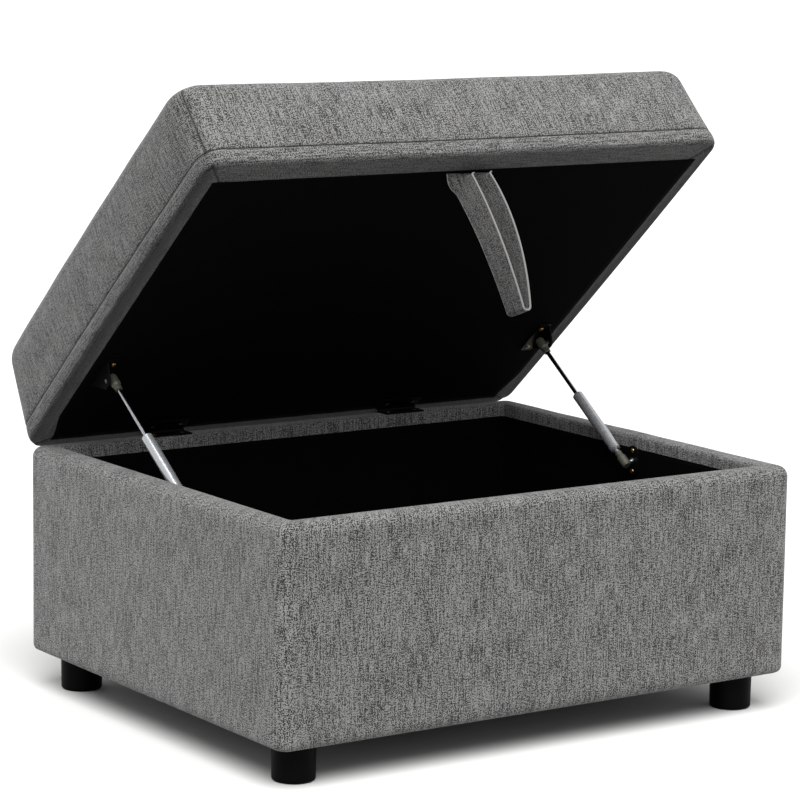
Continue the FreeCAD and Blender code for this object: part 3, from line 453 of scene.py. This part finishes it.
# %% Join the sides and the top panel
side_index = np.arange(COLUMNS * rows).reshape(COLUMNS, rows)
top_index = np.zeros((ALONG + 1, ACROSS + 1), int)
top_index[1:-1, 1:-1] = COLUMNS * rows + np.arange((ALONG - 1) * (ACROSS - 1)).reshape(
    ALONG - 1, ACROSS - 1)
last = side_index[:, -1]
top_index[:, 0] = last[:ALONG + 1]
top_index[-1, :] = last[ALONG:ALONG + ACROSS + 1]
top_index[:, -1] = last[ALONG + ACROSS:2 * ALONG + ACROSS + 1][::-1]
top_index[0, :] = np.concatenate([last[2 * ALONG + ACROSS:], last[:1]])[::-1]
side_index = np.concatenate([side_index, side_index[:1]])

MEASURED_COLUMN = 3
BAND_SHIFT, TOP_SHIFT = (0.37, 1.21), 5.0
closed = np.concatenate([lid_points, lid_points[:1]])
round_run = distance_along(closed[:, MEASURED_ROW])
round_m = round_run[:, None] * MM
down_m = distance_along(lid_points[MEASURED_COLUMN])[None] * MM
seam_row = WRAP_ROWS + ROLL_ROWS + len(SEAM_STEPS) // 2
across_band = np.arange(rows - 1)[None] < seam_row
side_uv = corner_uv(round_m + 0 * down_m, down_m + 0 * round_m).reshape(COLUMNS, rows - 1, 4, 2)
turned_uv = side_uv[..., ::-1] + BAND_SHIFT
side_uv = np.where(across_band[..., None, None], turned_uv, side_uv).reshape(-1, 4, 2)
top_uv = corner_uv(patch[..., 0] * MM + TOP_SHIFT, patch[..., 1] * MM)

# %% [markdown]
# The seams get a mark from 0 to 1 at each vertex. The mark presses the seam in, and the
# finish reads it too, because a seam gathers shadow and dust. Besides the two seams that go
# all the way round, the boxing strip is joined at each corner, and under the lid the wrap is
# folded over itself there.

# %% Seam marks
def near(value, target, width):
    """A bell: exp(-((value - target) / width)^2)."""
    return np.exp(-((value - target) / width) ** 2)


SEAM_WIDTH, CORNER_WIDTH, FOLD_WIDTH = 1.5, 2.4, 3.5
profile_run = distance_along(lid_points[MEASURED_COLUMN])[None]
seam_run = profile_run[0, seam_row]
top_seam_run = profile_run[0, rows - len(top_arc) // 2]
corner_gap = np.min([np.abs(round_run[:-1] - round_run[column])
                     for column in CORNER_COLUMNS], axis=0)[:, None]
boxing = (profile_run > seam_run) & (profile_run < top_seam_run + 1)
# The rows up to the middle of the lower roll lie under the lid.
TUCKED_ROWS = WRAP_ROWS + ROLL_ROWS // 2
wrapped = profile_run < profile_run[0, TUCKED_ROWS]
side_marks = np.maximum.reduce([
    near(profile_run, seam_run, SEAM_WIDTH) + 0 * corner_gap,
    0.55 * near(profile_run, top_seam_run, SEAM_WIDTH) + 0 * corner_gap,
    0.8 * near(corner_gap, 0, CORNER_WIDTH) * boxing,
    0.9 * near(corner_gap, 0, FOLD_WIDTH) * wrapped])
unmarked_top = np.zeros((ALONG - 1) * (ACROSS - 1))
lid_marks = np.concatenate([side_marks.ravel(), unmarked_top])
# Painted shade: the lid's two sides, its lower band and its turned-under edge are made darker
# than the light alone makes them. This mark is the share of near-black mixed in there.
SIDE_PAINTED_SHADE, BAND_PAINTED_SHADE, WRAP_PAINTED_SHADE = 0.30, 0.06, 0.44
SHADE_INSET, SHADE_FADE = 24, 16
side_share = smooth((np.abs(lid_points[..., 0]) - (LID_HALF - SHADE_INSET)) / SHADE_FADE)
side_painted_shade = SIDE_PAINTED_SHADE * side_share + BAND_PAINTED_SHADE * (profile_run < seam_run) + WRAP_PAINTED_SHADE * wrapped
lid_painted_shade = np.concatenate([side_painted_shade.ravel(), unmarked_top])

lid_vertices = open_lid(np.concatenate([lid_points.reshape(-1, 3),
                                        patch[1:-1, 1:-1].reshape(-1, 3)]))
lid_cushion = make_object("lid_cushion", lid_vertices,
                          np.concatenate([quads(side_index), quads(top_index)]),
                          np.concatenate([side_uv, top_uv]),
                          {"seam": lid_marks, "painted_shade": lid_painted_shade})
print("lid cushion:", len(lid_cushion.data.polygons), "faces")

# %% [markdown]
# The stapled wrap and the seams stay put while the foam swells between them. Afterwards slow
# waves raise and lower the cloth by under a millimetre, and the seams go in by up to 1.3 mm.

# %% Pad the lid
held_rows = np.arange(rows)[None] < TUCKED_ROWS
held_under = np.concatenate([(0 * corner_gap + held_rows).ravel(), unmarked_top])
lid_pins = np.clip(np.maximum(held_under, np.where(lid_marks > 0.3, lid_marks, 0)), 0, 1)
pad_with_cloth(lid_cushion, lid_pins, pressure=4, limit=2.6 * MM)
waves = unevenness(lid_vertices, size=170)
press_in(lid_cushion, (waves - 0.7) * (held_under < 0.5), depth=0.5)
press_in(lid_cushion, lid_marks, depth=1.3)
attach(lid_cushion, "lid")
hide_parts("lid_cover_band", "lid_cover_top", "lid_foam")

# %% [markdown]
# ## The pull loop
#
# A strip of the same cloth is sewn flat, with a row of stitches near each edge, and folded
# once. Its two ends are held side by side under the wrap. From there each strand twists a
# quarter turn, so that the fold at the bottom is seen from its edge, and the loop leans out
# at first and then hangs more steeply. It is drawn as it hangs with the lid open: at every
# step the strap has a middle, a direction down and a direction across.

# %% Run of the loop
STRAP, STRAP_THICK, LOOP_RUN = 38.0, 2.6, 205.0
LEAN_TOP, LEAN_TIP = math.radians(56.0), math.radians(19.0)
ROOT_SIDES, FOLD_MIDDLE, FOLD_GAP, ROOT_Y = (-8.5, 18.0), 0.5, 11.0, -579.0
NEAR_BOW, FAR_BOW, TWIST_SOON, TWIST = -7.0, 3.0, 0.10, math.radians(76.0)


def strand(side, steps):
    """One strand from its root (s = 0) to the fold (s = 1). Its lean from the vertical goes
    evenly from the top's to the tip's, and its middle is the running sum of the direction
    down. Across is cos(twist) X + sin(twist) times the square direction to X and down."""
    s = np.linspace(0, 1, steps)
    lean = LEAN_TOP + (LEAN_TIP - LEAN_TOP) * s
    down = np.stack([0 * s, -np.sin(lean), -np.cos(lean)], axis=1)
    start = open_lid([[ROOT_SIDES[side > 0], ROOT_Y, 0.4]])[0] / MM
    travel = np.cumsum((down[1:] + down[:-1]) / 2 * LOOP_RUN / (steps - 1), axis=0)
    middle = start + np.concatenate([[[0, 0, 0]], travel])
    end_x = FOLD_MIDDLE + side * FOLD_GAP / 2
    bow = FAR_BOW if side > 0 else NEAR_BOW
    middle[:, 0] = start[0] + (end_x - start[0]) * s + bow * 4 * s * (1 - s)
    twist = TWIST * smooth(s / TWIST_SOON) + (np.pi / 2 - TWIST) * s
    forward = np.stack([0 * s, -np.cos(lean), np.sin(lean)], axis=1)
    across = np.cos(twist)[:, None] * [[1, 0, 0]] + np.sin(twist)[:, None] * forward
    return middle, across, down[-1]


STRAND_STEPS = 90
near_middle, near_across, tip_down = strand(-1, STRAND_STEPS)
far_middle, far_across, tip_down = strand(1, STRAND_STEPS)
fold_turn = np.linspace(0, np.pi, 15)[1:-1, None]
fold_centre = (near_middle[-1] + far_middle[-1]) / 2
fold_middle = (fold_centre - (far_middle[-1] - fold_centre) * np.cos(fold_turn)
               + tip_down * FOLD_GAP / 2 * np.sin(fold_turn))
fold_across = np.repeat(near_across[-1:], len(fold_turn), axis=0)
loop_middle = np.concatenate([near_middle, fold_middle, far_middle[::-1]])
across = np.concatenate([near_across, fold_across, far_across[::-1]])
print("loop hangs to", round(float(loop_middle[:, 2].min()), 1), "mm above the floor")

# %% [markdown]
# The strap's section is carried along that run. At each step, across is made square to the
# direction along it, and out is square to both. The section is given from its edge to its
# middle, as shares of half the width and half the thickness: a hem, a dip where the stitches
# pull it in, and a full middle. The marks lighten the hem, a painted highlight on the edges.

# %% Strap surface
along = np.gradient(loop_middle, axis=0)
along /= np.linalg.norm(along, axis=1, keepdims=True)
across -= along * np.sum(across * along, axis=1, keepdims=True)
across /= np.linalg.norm(across, axis=1, keepdims=True)
out = np.cross(along, across)

half_width = np.array([1.0, 0.985, 0.95, 0.90, 0.85, 0.80, 0.74, 0.6, 0.35, 0.0])
half_thick = np.array([0.35, 0.75, 1.05, 1.0, 0.62, 0.80, 1.0, 1.08, 1.1, 1.1])
# Painted highlight: the hem at each edge of the strap is drawn lighter.
lit_hem = np.array([0.9, 1.0, 0.8, 0.3, 0, 0, 0, 0, 0, 0])
upper = np.concatenate([half_width, -half_width[-2::-1]])
thick = np.concatenate([half_thick, half_thick[-2::-1]])
section_across = np.concatenate([upper, upper[::-1]]) * STRAP / 2
section_out = np.concatenate([thick, -thick[::-1]]) * STRAP_THICK / 2
edge_marks = np.concatenate([lit_hem, lit_hem[-2::-1]])
edge_marks = np.concatenate([edge_marks, edge_marks[::-1]])
loop_points = (loop_middle[:, None] + across[:, None] * section_across[None, :, None]
               + out[:, None] * section_out[None, :, None])
loop_index = np.arange(loop_points[..., 0].size).reshape(loop_points.shape[:2])
loop_index = np.concatenate([loop_index, loop_index[:, :1]], axis=1)
loop_faces = quads(loop_index)
half = len(upper)
caps = [np.stack([end[:half - 1], end[1:half], end[-2:-half - 1:-1], end[-1:-half:-1]],
                 axis=1)[:, ::turned]
        for end, turned in ((loop_index[0, :-1], 1), (loop_index[-1, :-1], -1))]
loop_run = distance_along(loop_middle) * MM
section_run = distance_along(np.concatenate([loop_points[0], loop_points[0, :1]])) * MM
loop_uv = corner_uv(*np.meshgrid(loop_run, section_run, indexing="ij"))[..., ::-1]
cap_uv = np.full((sum(len(cap) for cap in caps), 4, 2), 0.01)
pull_strap = make_object("pull_strap", upright(loop_points).reshape(-1, 3),
                         np.concatenate([loop_faces[:, ::-1]] + caps),
                         np.concatenate([loop_uv[:, ::-1], cap_uv]),
                         {"seam": np.repeat(edge_marks[None], len(loop_middle), axis=0)})
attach(pull_strap, "lid")
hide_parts("pull_loop")
print("strap length", round(float(loop_run[-1]), 3), "m")

# %% [markdown]
# ## Black linings
#
# Thin black non-woven cloth lines the walls and the floor of the box and closes the
# undersides of the lid and of the box. It is stapled every few centimetres, so between two
# staples its edge lifts a little.

# %% Lining sheets
STAPLE_FADE = 25


def flat_sheet(low, high, height, ripple, staple_gap, facing, counts):
    """A grid between two corners. It lifts between the staples at its edges by
    ripple times |sin(pi s / gap)|, fading inwards, and its middle billows by the ripple."""
    x, y = np.meshgrid(np.linspace(low[0], high[0], counts[0]),
                       np.linspace(low[1], high[1], counts[1]), indexing="ij")
    edge_x = np.minimum(x - low[0], high[0] - x)
    edge_y = np.minimum(y - low[1], high[1] - y)
    lift = (np.abs(np.sin(np.pi * x / staple_gap)) * np.exp(-edge_y / STAPLE_FADE)
            + np.abs(np.sin(np.pi * y / staple_gap)) * np.exp(-edge_x / STAPLE_FADE))
    billow = np.sin(np.pi * (x - low[0]) / (high[0] - low[0])) * np.sin(
        np.pi * (y - low[1]) / (high[1] - low[1]))
    z = height + facing * ripple * (0.5 * lift + 0.5 * billow)
    index = np.arange(x.size).reshape(x.shape)
    faces = quads(index)
    return np.stack([x, y, z], axis=-1), faces if facing > 0 else faces[:, ::-1]


def sheet_object(name, points, faces, to_frame, body, replaced, thick):
    """Turns the grid into a sheet with a thickness behind its visible face."""
    made = make_object(name, to_frame(points).reshape(-1, 3), faces)
    solidify = made.modifiers.new("thickness", "SOLIDIFY")
    solidify.thickness = thick * MM
    solidify.offset = -1
    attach(made, body)
    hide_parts(replaced)
    return made


linings = []
low, high = (-380.0, -585.0), (380.0, -3.0)
points, faces = flat_sheet(low, high, height=2.15, ripple=0.6, staple_gap=60.0, facing=-1,
                           counts=(96, 74))
# More of the wrap shows near the back corners, so the lining narrows there by 2.8 %.
NARROWING, NARROW_FROM, NARROW_OVER = 0.028, -70, 60
points[..., 0] *= 1 - NARROWING * smooth((points[..., 1] - NARROW_FROM) / NARROW_OVER)
linings.append(sheet_object("lid_lining", points, faces, open_lid, "lid", "lid_dust_cover",
                            thick=0.35))

floor_low, floor_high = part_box("storage_floor_lining")
low = (floor_low.x / MM, floor_low.y / MM)
high = (floor_high.x / MM, floor_high.y / MM)
points, faces = flat_sheet(low, high, floor_high.z / MM - 1.2, ripple=0.8, staple_gap=70.0,
                           facing=1, counts=(92, 72))
linings.append(sheet_object("floor_lining", points, faces, upright, "base",
                            "storage_floor_lining",
                            thick=0.8))

under_low, under_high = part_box("base_dust_cover")
low = (under_low.x / MM + 6, under_low.y / MM + 6)
high = (under_high.x / MM - 6, under_high.y / MM - 6)
points, faces = flat_sheet(low, high, UNDER + 0.1, ripple=0.5, staple_gap=55.0, facing=-1,
                           counts=(92, 72))
linings.append(sheet_object("underside_lining", points, faces, upright, "base",
                            "base_dust_cover",
                            thick=0.4))

# %% [markdown]
# The walls have one strip that goes once round the inside, a little behind the hem of the
# cover. Between its top and bottom edges it waves by 0.6 mm, as a thin cloth does.

# %% Wall lining
wall_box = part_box("storage_wall_lining")
wall_low, wall_high = wall_box[0].z / MM + 0.5, wall_box[1].z / MM
BEHIND_HEM, SLACK, SLACK_WAVE = 0.8, 0.6, 83
inset = WALL - BEHIND_HEM
lining_ring, lining_out = ring(HALF_X - inset, FRONT + inset, BACK - inset, 3.0)
levels = np.linspace(wall_low, wall_high, 30)
run = distance_along(np.concatenate([lining_ring, lining_ring[:1]]))
slack = (SLACK * np.sin(2 * np.pi * run[:-1, None] / SLACK_WAVE)
         * np.sin(np.pi * (levels[None] - wall_low) / (wall_high - wall_low)))
wall_points = np.concatenate([lining_ring[:, None] + lining_out[:, None] * slack[..., None],
                              np.repeat(levels[None, :, None], COLUMNS, axis=0)], axis=2)
wall_index = np.arange(wall_points[..., 0].size).reshape(wall_points.shape[:2])
wall_index = np.concatenate([wall_index, wall_index[:1]])
linings.append(sheet_object("wall_lining", wall_points, quads(wall_index)[:, ::-1], upright,
                            "base", "storage_wall_lining",
                            thick=0.4))
print("linings:", [o.name for o in linings])

# %% [markdown]
# ## Screws
#
# Each hinge leaf and each strut bracket is held by cross-recess screws. The screws of the
# hinges are sunk flush, because the leaves close on each other. Those of the brackets have
# low round heads. A head is a surface of revolution, height over radius, and the recess is
# a cross cut into it: the height drops wherever the point is near either arm.

# %% Screw heads
def screw_head(spot, facing, radius, height, recess):
    """Points and faces of one head: z = height (1 - (r/R)^4)^(1/2), less the recess within
    0.15 R of the cross's arms, which reach to 0.62 R."""
    angle = np.linspace(0, 2 * np.pi, 41)[:-1]
    share = np.concatenate([[1.0, 0.995, 0.97, 0.9, 0.78], np.linspace(0.68, 0.02, 14)])
    r, a = np.meshgrid(share * radius, angle, indexing="ij")
    x, y = r * np.cos(a), r * np.sin(a)
    arm = ((np.minimum(np.abs(x), np.abs(y)) < 0.15 * radius)
           & (np.maximum(np.abs(x), np.abs(y)) < 0.62 * radius))
    z = height * np.sqrt(np.clip(1 - (r / radius) ** 4, 0, 1)) - recess * arm
    z[0] = -0.2
    facing = np.array(facing, float) / np.linalg.norm(facing)
    side = np.cross(facing, [1, 0, 0] if abs(facing[0]) < 0.5 else [0, 1, 0])
    side /= np.linalg.norm(side)
    points = (np.array(spot) + x[..., None] * side + y[..., None] * np.cross(facing, side)
              + z[..., None] * facing).reshape(-1, 3)
    index = np.arange(x.size).reshape(x.shape)
    ring_faces = quads(np.concatenate([index, index[:, :1]], axis=1))
    return points, ring_faces, index[0], index[-1]


def screws(name, body, placed, to_frame):
    """All the heads on one body, with their two ends closed by one many-sided face each."""
    vertices, faces, start = [], [], 0
    for spot, facing, radius, height, recess in placed:
        points, ring_faces, outer, inner = screw_head(spot, facing, radius, height, recess)
        vertices.append(points)
        faces += (ring_faces + start).tolist()
        faces += [(outer[::-1] + start).tolist(), (inner + start).tolist()]
        start += len(points)
    mesh = bpy.data.meshes.new(name)
    mesh.from_pydata(to_frame(np.concatenate(vertices)).tolist(), [], faces)
    made = bpy.data.objects.new(name, mesh)
    bpy.context.scene.collection.objects.link(made)
    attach(made, body)
    print(name, len(placed), "heads")
    return made


LEAF_MIDDLE, LEAF_SCREW_SIDE, LEAF_SCREW_FORWARD = 194.0, 22.0, 15.0
LID_BRACKET_X, LID_BRACKET_SCREWS = 350.0, (-185.0, -142.0)
BASE_BRACKET_FACE, BASE_SCREW_RISE = 364.0, 14.5
# The radius, the height and the recess of each kind of head.
SUNK_HEAD, LID_HEAD, BASE_HEAD = (3.0, 0.2, 0.5), (3.6, 1.7, 1.1), (3.4, 1.6, 1.0)
hinge_spot = np.array(hinge["pos_m"]) / MM
across_leaf = [side * LEAF_MIDDLE + shift for side in (-1, 1)
               for shift in (-LEAF_SCREW_SIDE, LEAF_SCREW_SIDE)]
lid_heads = [((x, -LEAF_SCREW_FORWARD, 0.3), (0, 0, -1), *SUNK_HEAD) for x in across_leaf]
lid_heads += [((side * LID_BRACKET_X, y, -0.2), (0, 0, -1), *LID_HEAD)
              for side in (-1, 1) for y in LID_BRACKET_SCREWS]
base_heads = [((x, hinge_spot[1] - LEAF_SCREW_FORWARD, hinge_spot[2] - 0.5), (0, 0, 1),
               *SUNK_HEAD) for x in across_leaf]
for side, plate in ((-1, "base_bracket_left"), (1, "base_bracket_right")):
    low_corner, high_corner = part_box(plate)
    centre = (low_corner + high_corner) / 2 / MM
    base_heads += [((side * BASE_BRACKET_FACE, centre.y, centre.z + up), (-side, 0, 0),
                    *BASE_HEAD) for up in (-BASE_SCREW_RISE, BASE_SCREW_RISE)]
lid_screws = screws("lid_screws", "lid", lid_heads, open_lid)
base_screws = screws("base_screws", "base", base_heads, upright)

# %% [markdown]
# ## Finishes
#
# A finish starts from what the real one is: what it is made of, how its surface was made,
# and so how it takes the light. Colours are written as the sRGB hex values that a colour
# picker shows, and one function turns them into the linear values that the renderer adds
# and multiplies. One small function adds a node with its settings and links.

# %% Node helpers
def colour(code):
    """sRGB hex to linear: c / 12.92 below 0.04045, else ((c + 0.055) / 1.055) ^ 2.4."""
    channels = [int(code[i:i + 2], 16) / 255 for i in (1, 3, 5)]
    return (*[c / 12.92 if c <= 0.04045 else ((c + 0.055) / 1.055) ** 2.4 for c in channels], 1)


def add(tree, kind, inputs=None, links=None, **settings):
    """Adds a node: settings are its own options, inputs are values of its sockets, and
    links are other nodes' outputs that feed its sockets."""
    made = tree.nodes.new(kind)
    for name, value in settings.items():
        setattr(made, name, value)
    for name, value in (inputs or {}).items():
        made.inputs[name].default_value = value
    for name, source in (links or {}).items():
        tree.links.new(source, made.inputs[name])
    return made


def new_finish(name, **surface):
    """A material whose surface shader has the given socket values."""
    made = bpy.data.materials.new(name)
    made.use_nodes = True
    shader = made.node_tree.nodes["Principled BSDF"]
    for socket, value in surface.items():
        shader.inputs[socket.replace("_", " ")].default_value = value
    return made, made.node_tree, shader


def ramp(tree, source, stops):
    """A colour ramp from (place, sRGB hex) pairs."""
    made = add(tree, "ShaderNodeValToRGB", links={"Fac": source})
    elements = made.color_ramp.elements
    while len(elements) < len(stops):
        elements.new(0.5)
    for element, (place, code) in zip(elements, stops):
        element.position = place
        element.color = colour(code)
    return made.outputs["Color"]


# %% [markdown]
# ### Heathered chenille
#
# The cover is a woven chenille in one grey made of lighter and darker fibres. Long yarns are
# lighter or darker over a few centimetres, shorter ones cross them, and the pile lies
# differently in patches as large as a hand. The UV map is in metres, so a mapping scale of
# 1000 / size gives a pattern of that size in millimetres. A real yarn is about 1 mm, which is
# finer than a pixel of the picture, so the finest yarns are drawn at about 1.5 mm.

# %% Chenille
def chenille(name, dark, light, mark_colour):
    """Five noises added with their shares, turned into a tone from dark to light. With a mark
    colour, the seam mark mixes that colour in, and a second mark mixes in near-black as
    painted shade."""
    made, tree, shader = new_finish(name, Roughness=0.95, Specular_IOR_Level=0.1,
                                    Sheen_Weight=0.12, Sheen_Roughness=0.5)
    flat = add(tree, "ShaderNodeUVMap", uv_map="cloth").outputs["UV"]

    def threads(size_along, size_across, detail, seed):
        """Noise stretched to yarns: size_across wide and size_along long, in mm."""
        laid = add(tree, "ShaderNodeMapping", {
            "Scale": (1000 / size_across, 1000 / size_along, 1), "Location": (seed, seed, 0)},
            {"Vector": flat}).outputs["Vector"]
        return add(tree, "ShaderNodeTexNoise", {"Scale": 1.0, "Detail": detail, "Roughness": 0.6},
                   {"Vector": laid}, noise_dimensions="2D").outputs["Fac"]

    def weigh(first, share, second):
        """first + share * (second - 0.5)."""
        centred = add(tree, "ShaderNodeMath", {1: -0.5}, {0: second}, operation="ADD").outputs[0]
        return add(tree, "ShaderNodeMath", {1: share}, {0: centred, 2: first},
                   operation="MULTIPLY_ADD").outputs[0]

    tone = threads(1.6, 1.4, 0.0, 1.3)
    tone = weigh(tone, 0.38, threads(28.0, 2.2, 0.0, 3.1))
    tone = weigh(tone, 0.35, threads(1.5, 8.0, 0.0, 5.9))
    tone = weigh(tone, 0.25, threads(7.0, 1.6, 0.0, 7.7))
    tone = weigh(tone, 0.20, threads(80.0, 40.0, 2.0, 9.2))
    shade = ramp(tree, tone, [(0.35, dark), (0.65, light)])
    if mark_colour:
        mark = add(tree, "ShaderNodeAttribute", attribute_name="seam").outputs["Fac"]
        line_mark = add(tree, "ShaderNodeMapRange",
                        {"From Min": 0.30, "From Max": 0.85, "To Max": 0.92},
                        {"Value": mark}).outputs[0]
        # On the strap this mix is a painted highlight along the hem.
        shade = add(tree, "ShaderNodeMix", {"B": colour(mark_colour)},
                    {"Factor": line_mark, "A": shade}, data_type="RGBA").outputs["Result"]
        # Painted shade: near-black mixed into the lid's sides, lower band and turned-under edge.
        painted_shade = add(tree, "ShaderNodeAttribute", attribute_name="painted_shade").outputs["Fac"]
        shade = add(tree, "ShaderNodeMix", {"B": colour(SHADOW)},
                    {"Factor": painted_shade, "A": shade}, data_type="RGBA").outputs["Result"]
    tree.links.new(shade, shader.inputs["Base Color"])
    bump = add(tree, "ShaderNodeBump", {"Strength": 0.6, "Distance": 0.0006},
               {"Height": tone}).outputs["Normal"]
    tree.links.new(bump, shader.inputs["Normal"])
    return made


DARK_YARN, LIGHT_YARN, SHADOW = "#171716", "#666665", "#060606"
box_cloth = chenille("heathered_chenille", DARK_YARN, LIGHT_YARN, None)
lid_cloth = chenille("heathered_chenille_sewn", DARK_YARN, LIGHT_YARN, SHADOW)
# Painted shade: the strap is the same cloth with darker yarns, and its lighter hem is a painted
# highlight.
strap_cloth = chenille("heathered_chenille_painted_shade_lit_hem", "#10100f", "#484847", "#636260")
box_cover.data.materials.append(box_cloth)
lid_cushion.data.materials.append(lid_cloth)
pull_strap.data.materials.append(strap_cloth)

# %% [markdown]
# ### Black non-woven lining
#
# Spun polypropylene: tiny fibres pressed into a sheet, so dull that it swallows the light.

# %% Lining
lining, tree, shader = new_finish("black_nonwoven", Roughness=0.98, Specular_IOR_Level=0.02)
place_in_object = add(tree, "ShaderNodeTexCoord").outputs["Object"]
fibres = add(tree, "ShaderNodeTexNoise", {"Scale": 1000 / 3.0, "Detail": 3.0},
             {"Vector": place_in_object}).outputs["Fac"]
tree.links.new(ramp(tree, fibres, [(0.3, "#020202"), (0.8, "#060607")]),
               shader.inputs["Base Color"])
tree.links.new(add(tree, "ShaderNodeBump", {"Strength": 0.4, "Distance": 0.0003},
                   {"Height": fibres}).outputs["Normal"], shader.inputs["Normal"])
for piece in linings:
    piece.data.materials.append(lining)

# %% [markdown]
# ### Metal, plastic and board
#
# Each of the kept CAD pieces gets the finish of the real one: moulded black legs, painted
# steel hinges and brackets, zinc-plated studs, yellow-passivated screws, a silver-painted
# tube round a polished rod, and glass-filled nylon sockets. The boards are hidden, but they
# show when the piece is taken apart. Small grain comes from noise on Object coordinates.

# %% Hard finishes
def hard_finish(name, low, high, grain, depth, rough, **surface):
    """A finish with its tone, roughness and relief varied by one noise. The grain is in mm,
    one size or one along each axis."""
    made, tree, shader = new_finish(name, **surface)
    spot = add(tree, "ShaderNodeTexCoord").outputs["Object"]
    size = grain if isinstance(grain, tuple) else (grain, grain, grain)
    laid = add(tree, "ShaderNodeMapping", {"Scale": tuple(1000 / g for g in size)},
               {"Vector": spot}).outputs["Vector"]
    noise = add(tree, "ShaderNodeTexNoise", {"Scale": 1.0, "Detail": 4.0, "Roughness": 0.55},
                {"Vector": laid}).outputs["Fac"]
    tree.links.new(ramp(tree, noise, [(0.3, low), (0.7, high)]), shader.inputs["Base Color"])
    roughness = add(tree, "ShaderNodeMapRange", {"From Min": 0.3, "From Max": 0.7,
                                                 "To Min": rough[0], "To Max": rough[1]},
                    {"Value": noise}).outputs[0]
    tree.links.new(roughness, shader.inputs["Roughness"])
    tree.links.new(add(tree, "ShaderNodeBump", {"Strength": 0.5, "Distance": depth * MM},
                       {"Height": noise}).outputs["Normal"], shader.inputs["Normal"])
    return made


FINISHES = {
    # Moulded plastic: its fine grain keeps the black dull, with a wide soft gleam.
    "leg_": hard_finish("black_moulded_polypropylene", "#010101", "#030303", 0.9, 0.05,
                        rough=(0.45, 0.6), Specular_IOR_Level=0.04),
    # Zinc plating: bright metal, a little cloudy.
    "hinge_pin": hard_finish("zinc_plated_steel", "#9a9da0", "#c4c7c9", 2.5, 0.03,
                             rough=(0.22, 0.4), Metallic=1.0),
    # Paint on steel: black, with a satin gleam.
    "hinge_": hard_finish("black_painted_steel", "#020202", "#070708", 0.8, 0.04,
                          rough=(0.38, 0.55), Specular_IOR_Level=0.05),
    # Yellow passivation over zinc: a warm metal, close to brass.
    "screws": hard_finish("yellow_passivated_steel", "#6f5a34", "#a08653", 1.8, 0.02,
                          rough=(0.22, 0.4), Metallic=1.0),
    # Metallic silver paint: a pale and even grey that mirrors the sky softly.
    "strut_tube": hard_finish("silver_painted_steel", "#9fa1a4", "#a4a6a9", 8.0, 0.001,
                              rough=(0.24, 0.30), Metallic=0.8),
    # Polished steel: the sharpest mirror here.
    "strut_rod": hard_finish("polished_steel", "#8d9094", "#b4b7bb", 2.0, 0.01,
                             rough=(0.1, 0.18), Metallic=1.0),
    # Nylon filled with glass: a very dark olive grey with a faint gleam.
    "socket": hard_finish("glass_filled_nylon", "#2b2b25", "#3b3b33", 0.7, 0.05,
                          rough=(0.42, 0.6), Specular_IOR_Level=0.4),
    # Rubber: nearly black and dull.
    "seal": hard_finish("seal_rubber", "#101010", "#1a1a1a", 0.8, 0.03,
                        rough=(0.5, 0.7), Specular_IOR_Level=0.3),
    # Pressed wood: light brown and matt, with a coarse grain.
    "board": hard_finish("pressed_wood_board", "#8f7350", "#b99a70", (30.0, 6.0, 6.0), 0.2,
                         rough=(0.7, 0.85), Specular_IOR_Level=0.2),
}
# The first of these that is part of a node's name picks its finish.
CHOICES = [("leg_front", "leg_"), ("leg_back", "leg_"),
           ("leg_tee_nuts", "hinge_pin"), ("leg_bolts", "hinge_pin"), ("hinge_pin", "hinge_pin"),
           ("ball_stud", "hinge_pin"), ("hinge_", "hinge_"), ("bracket", "hinge_"),
           ("strut_tube", "strut_tube"), ("strut_rod", "strut_rod"), ("strut_piston", "seal"),
           ("strut_gland", "seal"), ("socket", "socket"), ("panel", "board"), ("floor", "board"),
           ("blocks", "board"), ("lid_board", "board")]
for name, node in nodes.items():
    if node.hide_render:
        continue
    chosen = next(finish for part, finish in CHOICES if part in name)
    node.data.materials.clear()
    node.data.materials.append(FINISHES[chosen])
for piece in (lid_screws, base_screws):
    piece.data.materials.append(FINISHES["screws"])
print("finished nodes:", sum(not node.hide_render for node in nodes.values()))

# %% [markdown]
# ## Floor and light
#
# A pale floor that runs past the edge of the picture, an evenly white sky, and one wide lamp
# high up in front on the left.

# %% Floor and light
floor_finish, tree, shader = new_finish("pale_floor", Roughness=0.9, Specular_IOR_Level=0.1)
shader.inputs["Base Color"].default_value = colour("#adadac")
FLOOR_HALF = 60.0
floor = make_object("floor", [(-FLOOR_HALF, -FLOOR_HALF, 0), (FLOOR_HALF, -FLOOR_HALF, 0),
                              (FLOOR_HALF, FLOOR_HALF, 0), (-FLOOR_HALF, FLOOR_HALF, 0)],
                    [(0, 1, 2, 3)])
floor.data.materials.append(floor_finish)

world = bpy.data.worlds.new("soft_sky")
bpy.context.scene.world = world
world.use_nodes = True
world.node_tree.nodes["Background"].inputs["Color"].default_value = (1, 1, 1, 1)
world.node_tree.nodes["Background"].inputs["Strength"].default_value = 1.0

LAMP_TOWARD, LAMP_POWER, LAMP_WIDTH = (-0.30, -0.45, 0.84), 7.5, math.radians(50)
lamp = bpy.data.objects.new("key_lamp", bpy.data.lights.new("key_lamp", "SUN"))
lamp.data.energy = LAMP_POWER
lamp.data.angle = LAMP_WIDTH
toward = Vector(LAMP_TOWARD).normalized()
lamp.rotation_euler = toward.to_track_quat("Z", "Y").to_euler()
bpy.context.scene.collection.objects.link(lamp)
bpy.context.scene.view_settings.view_transform = "Standard"
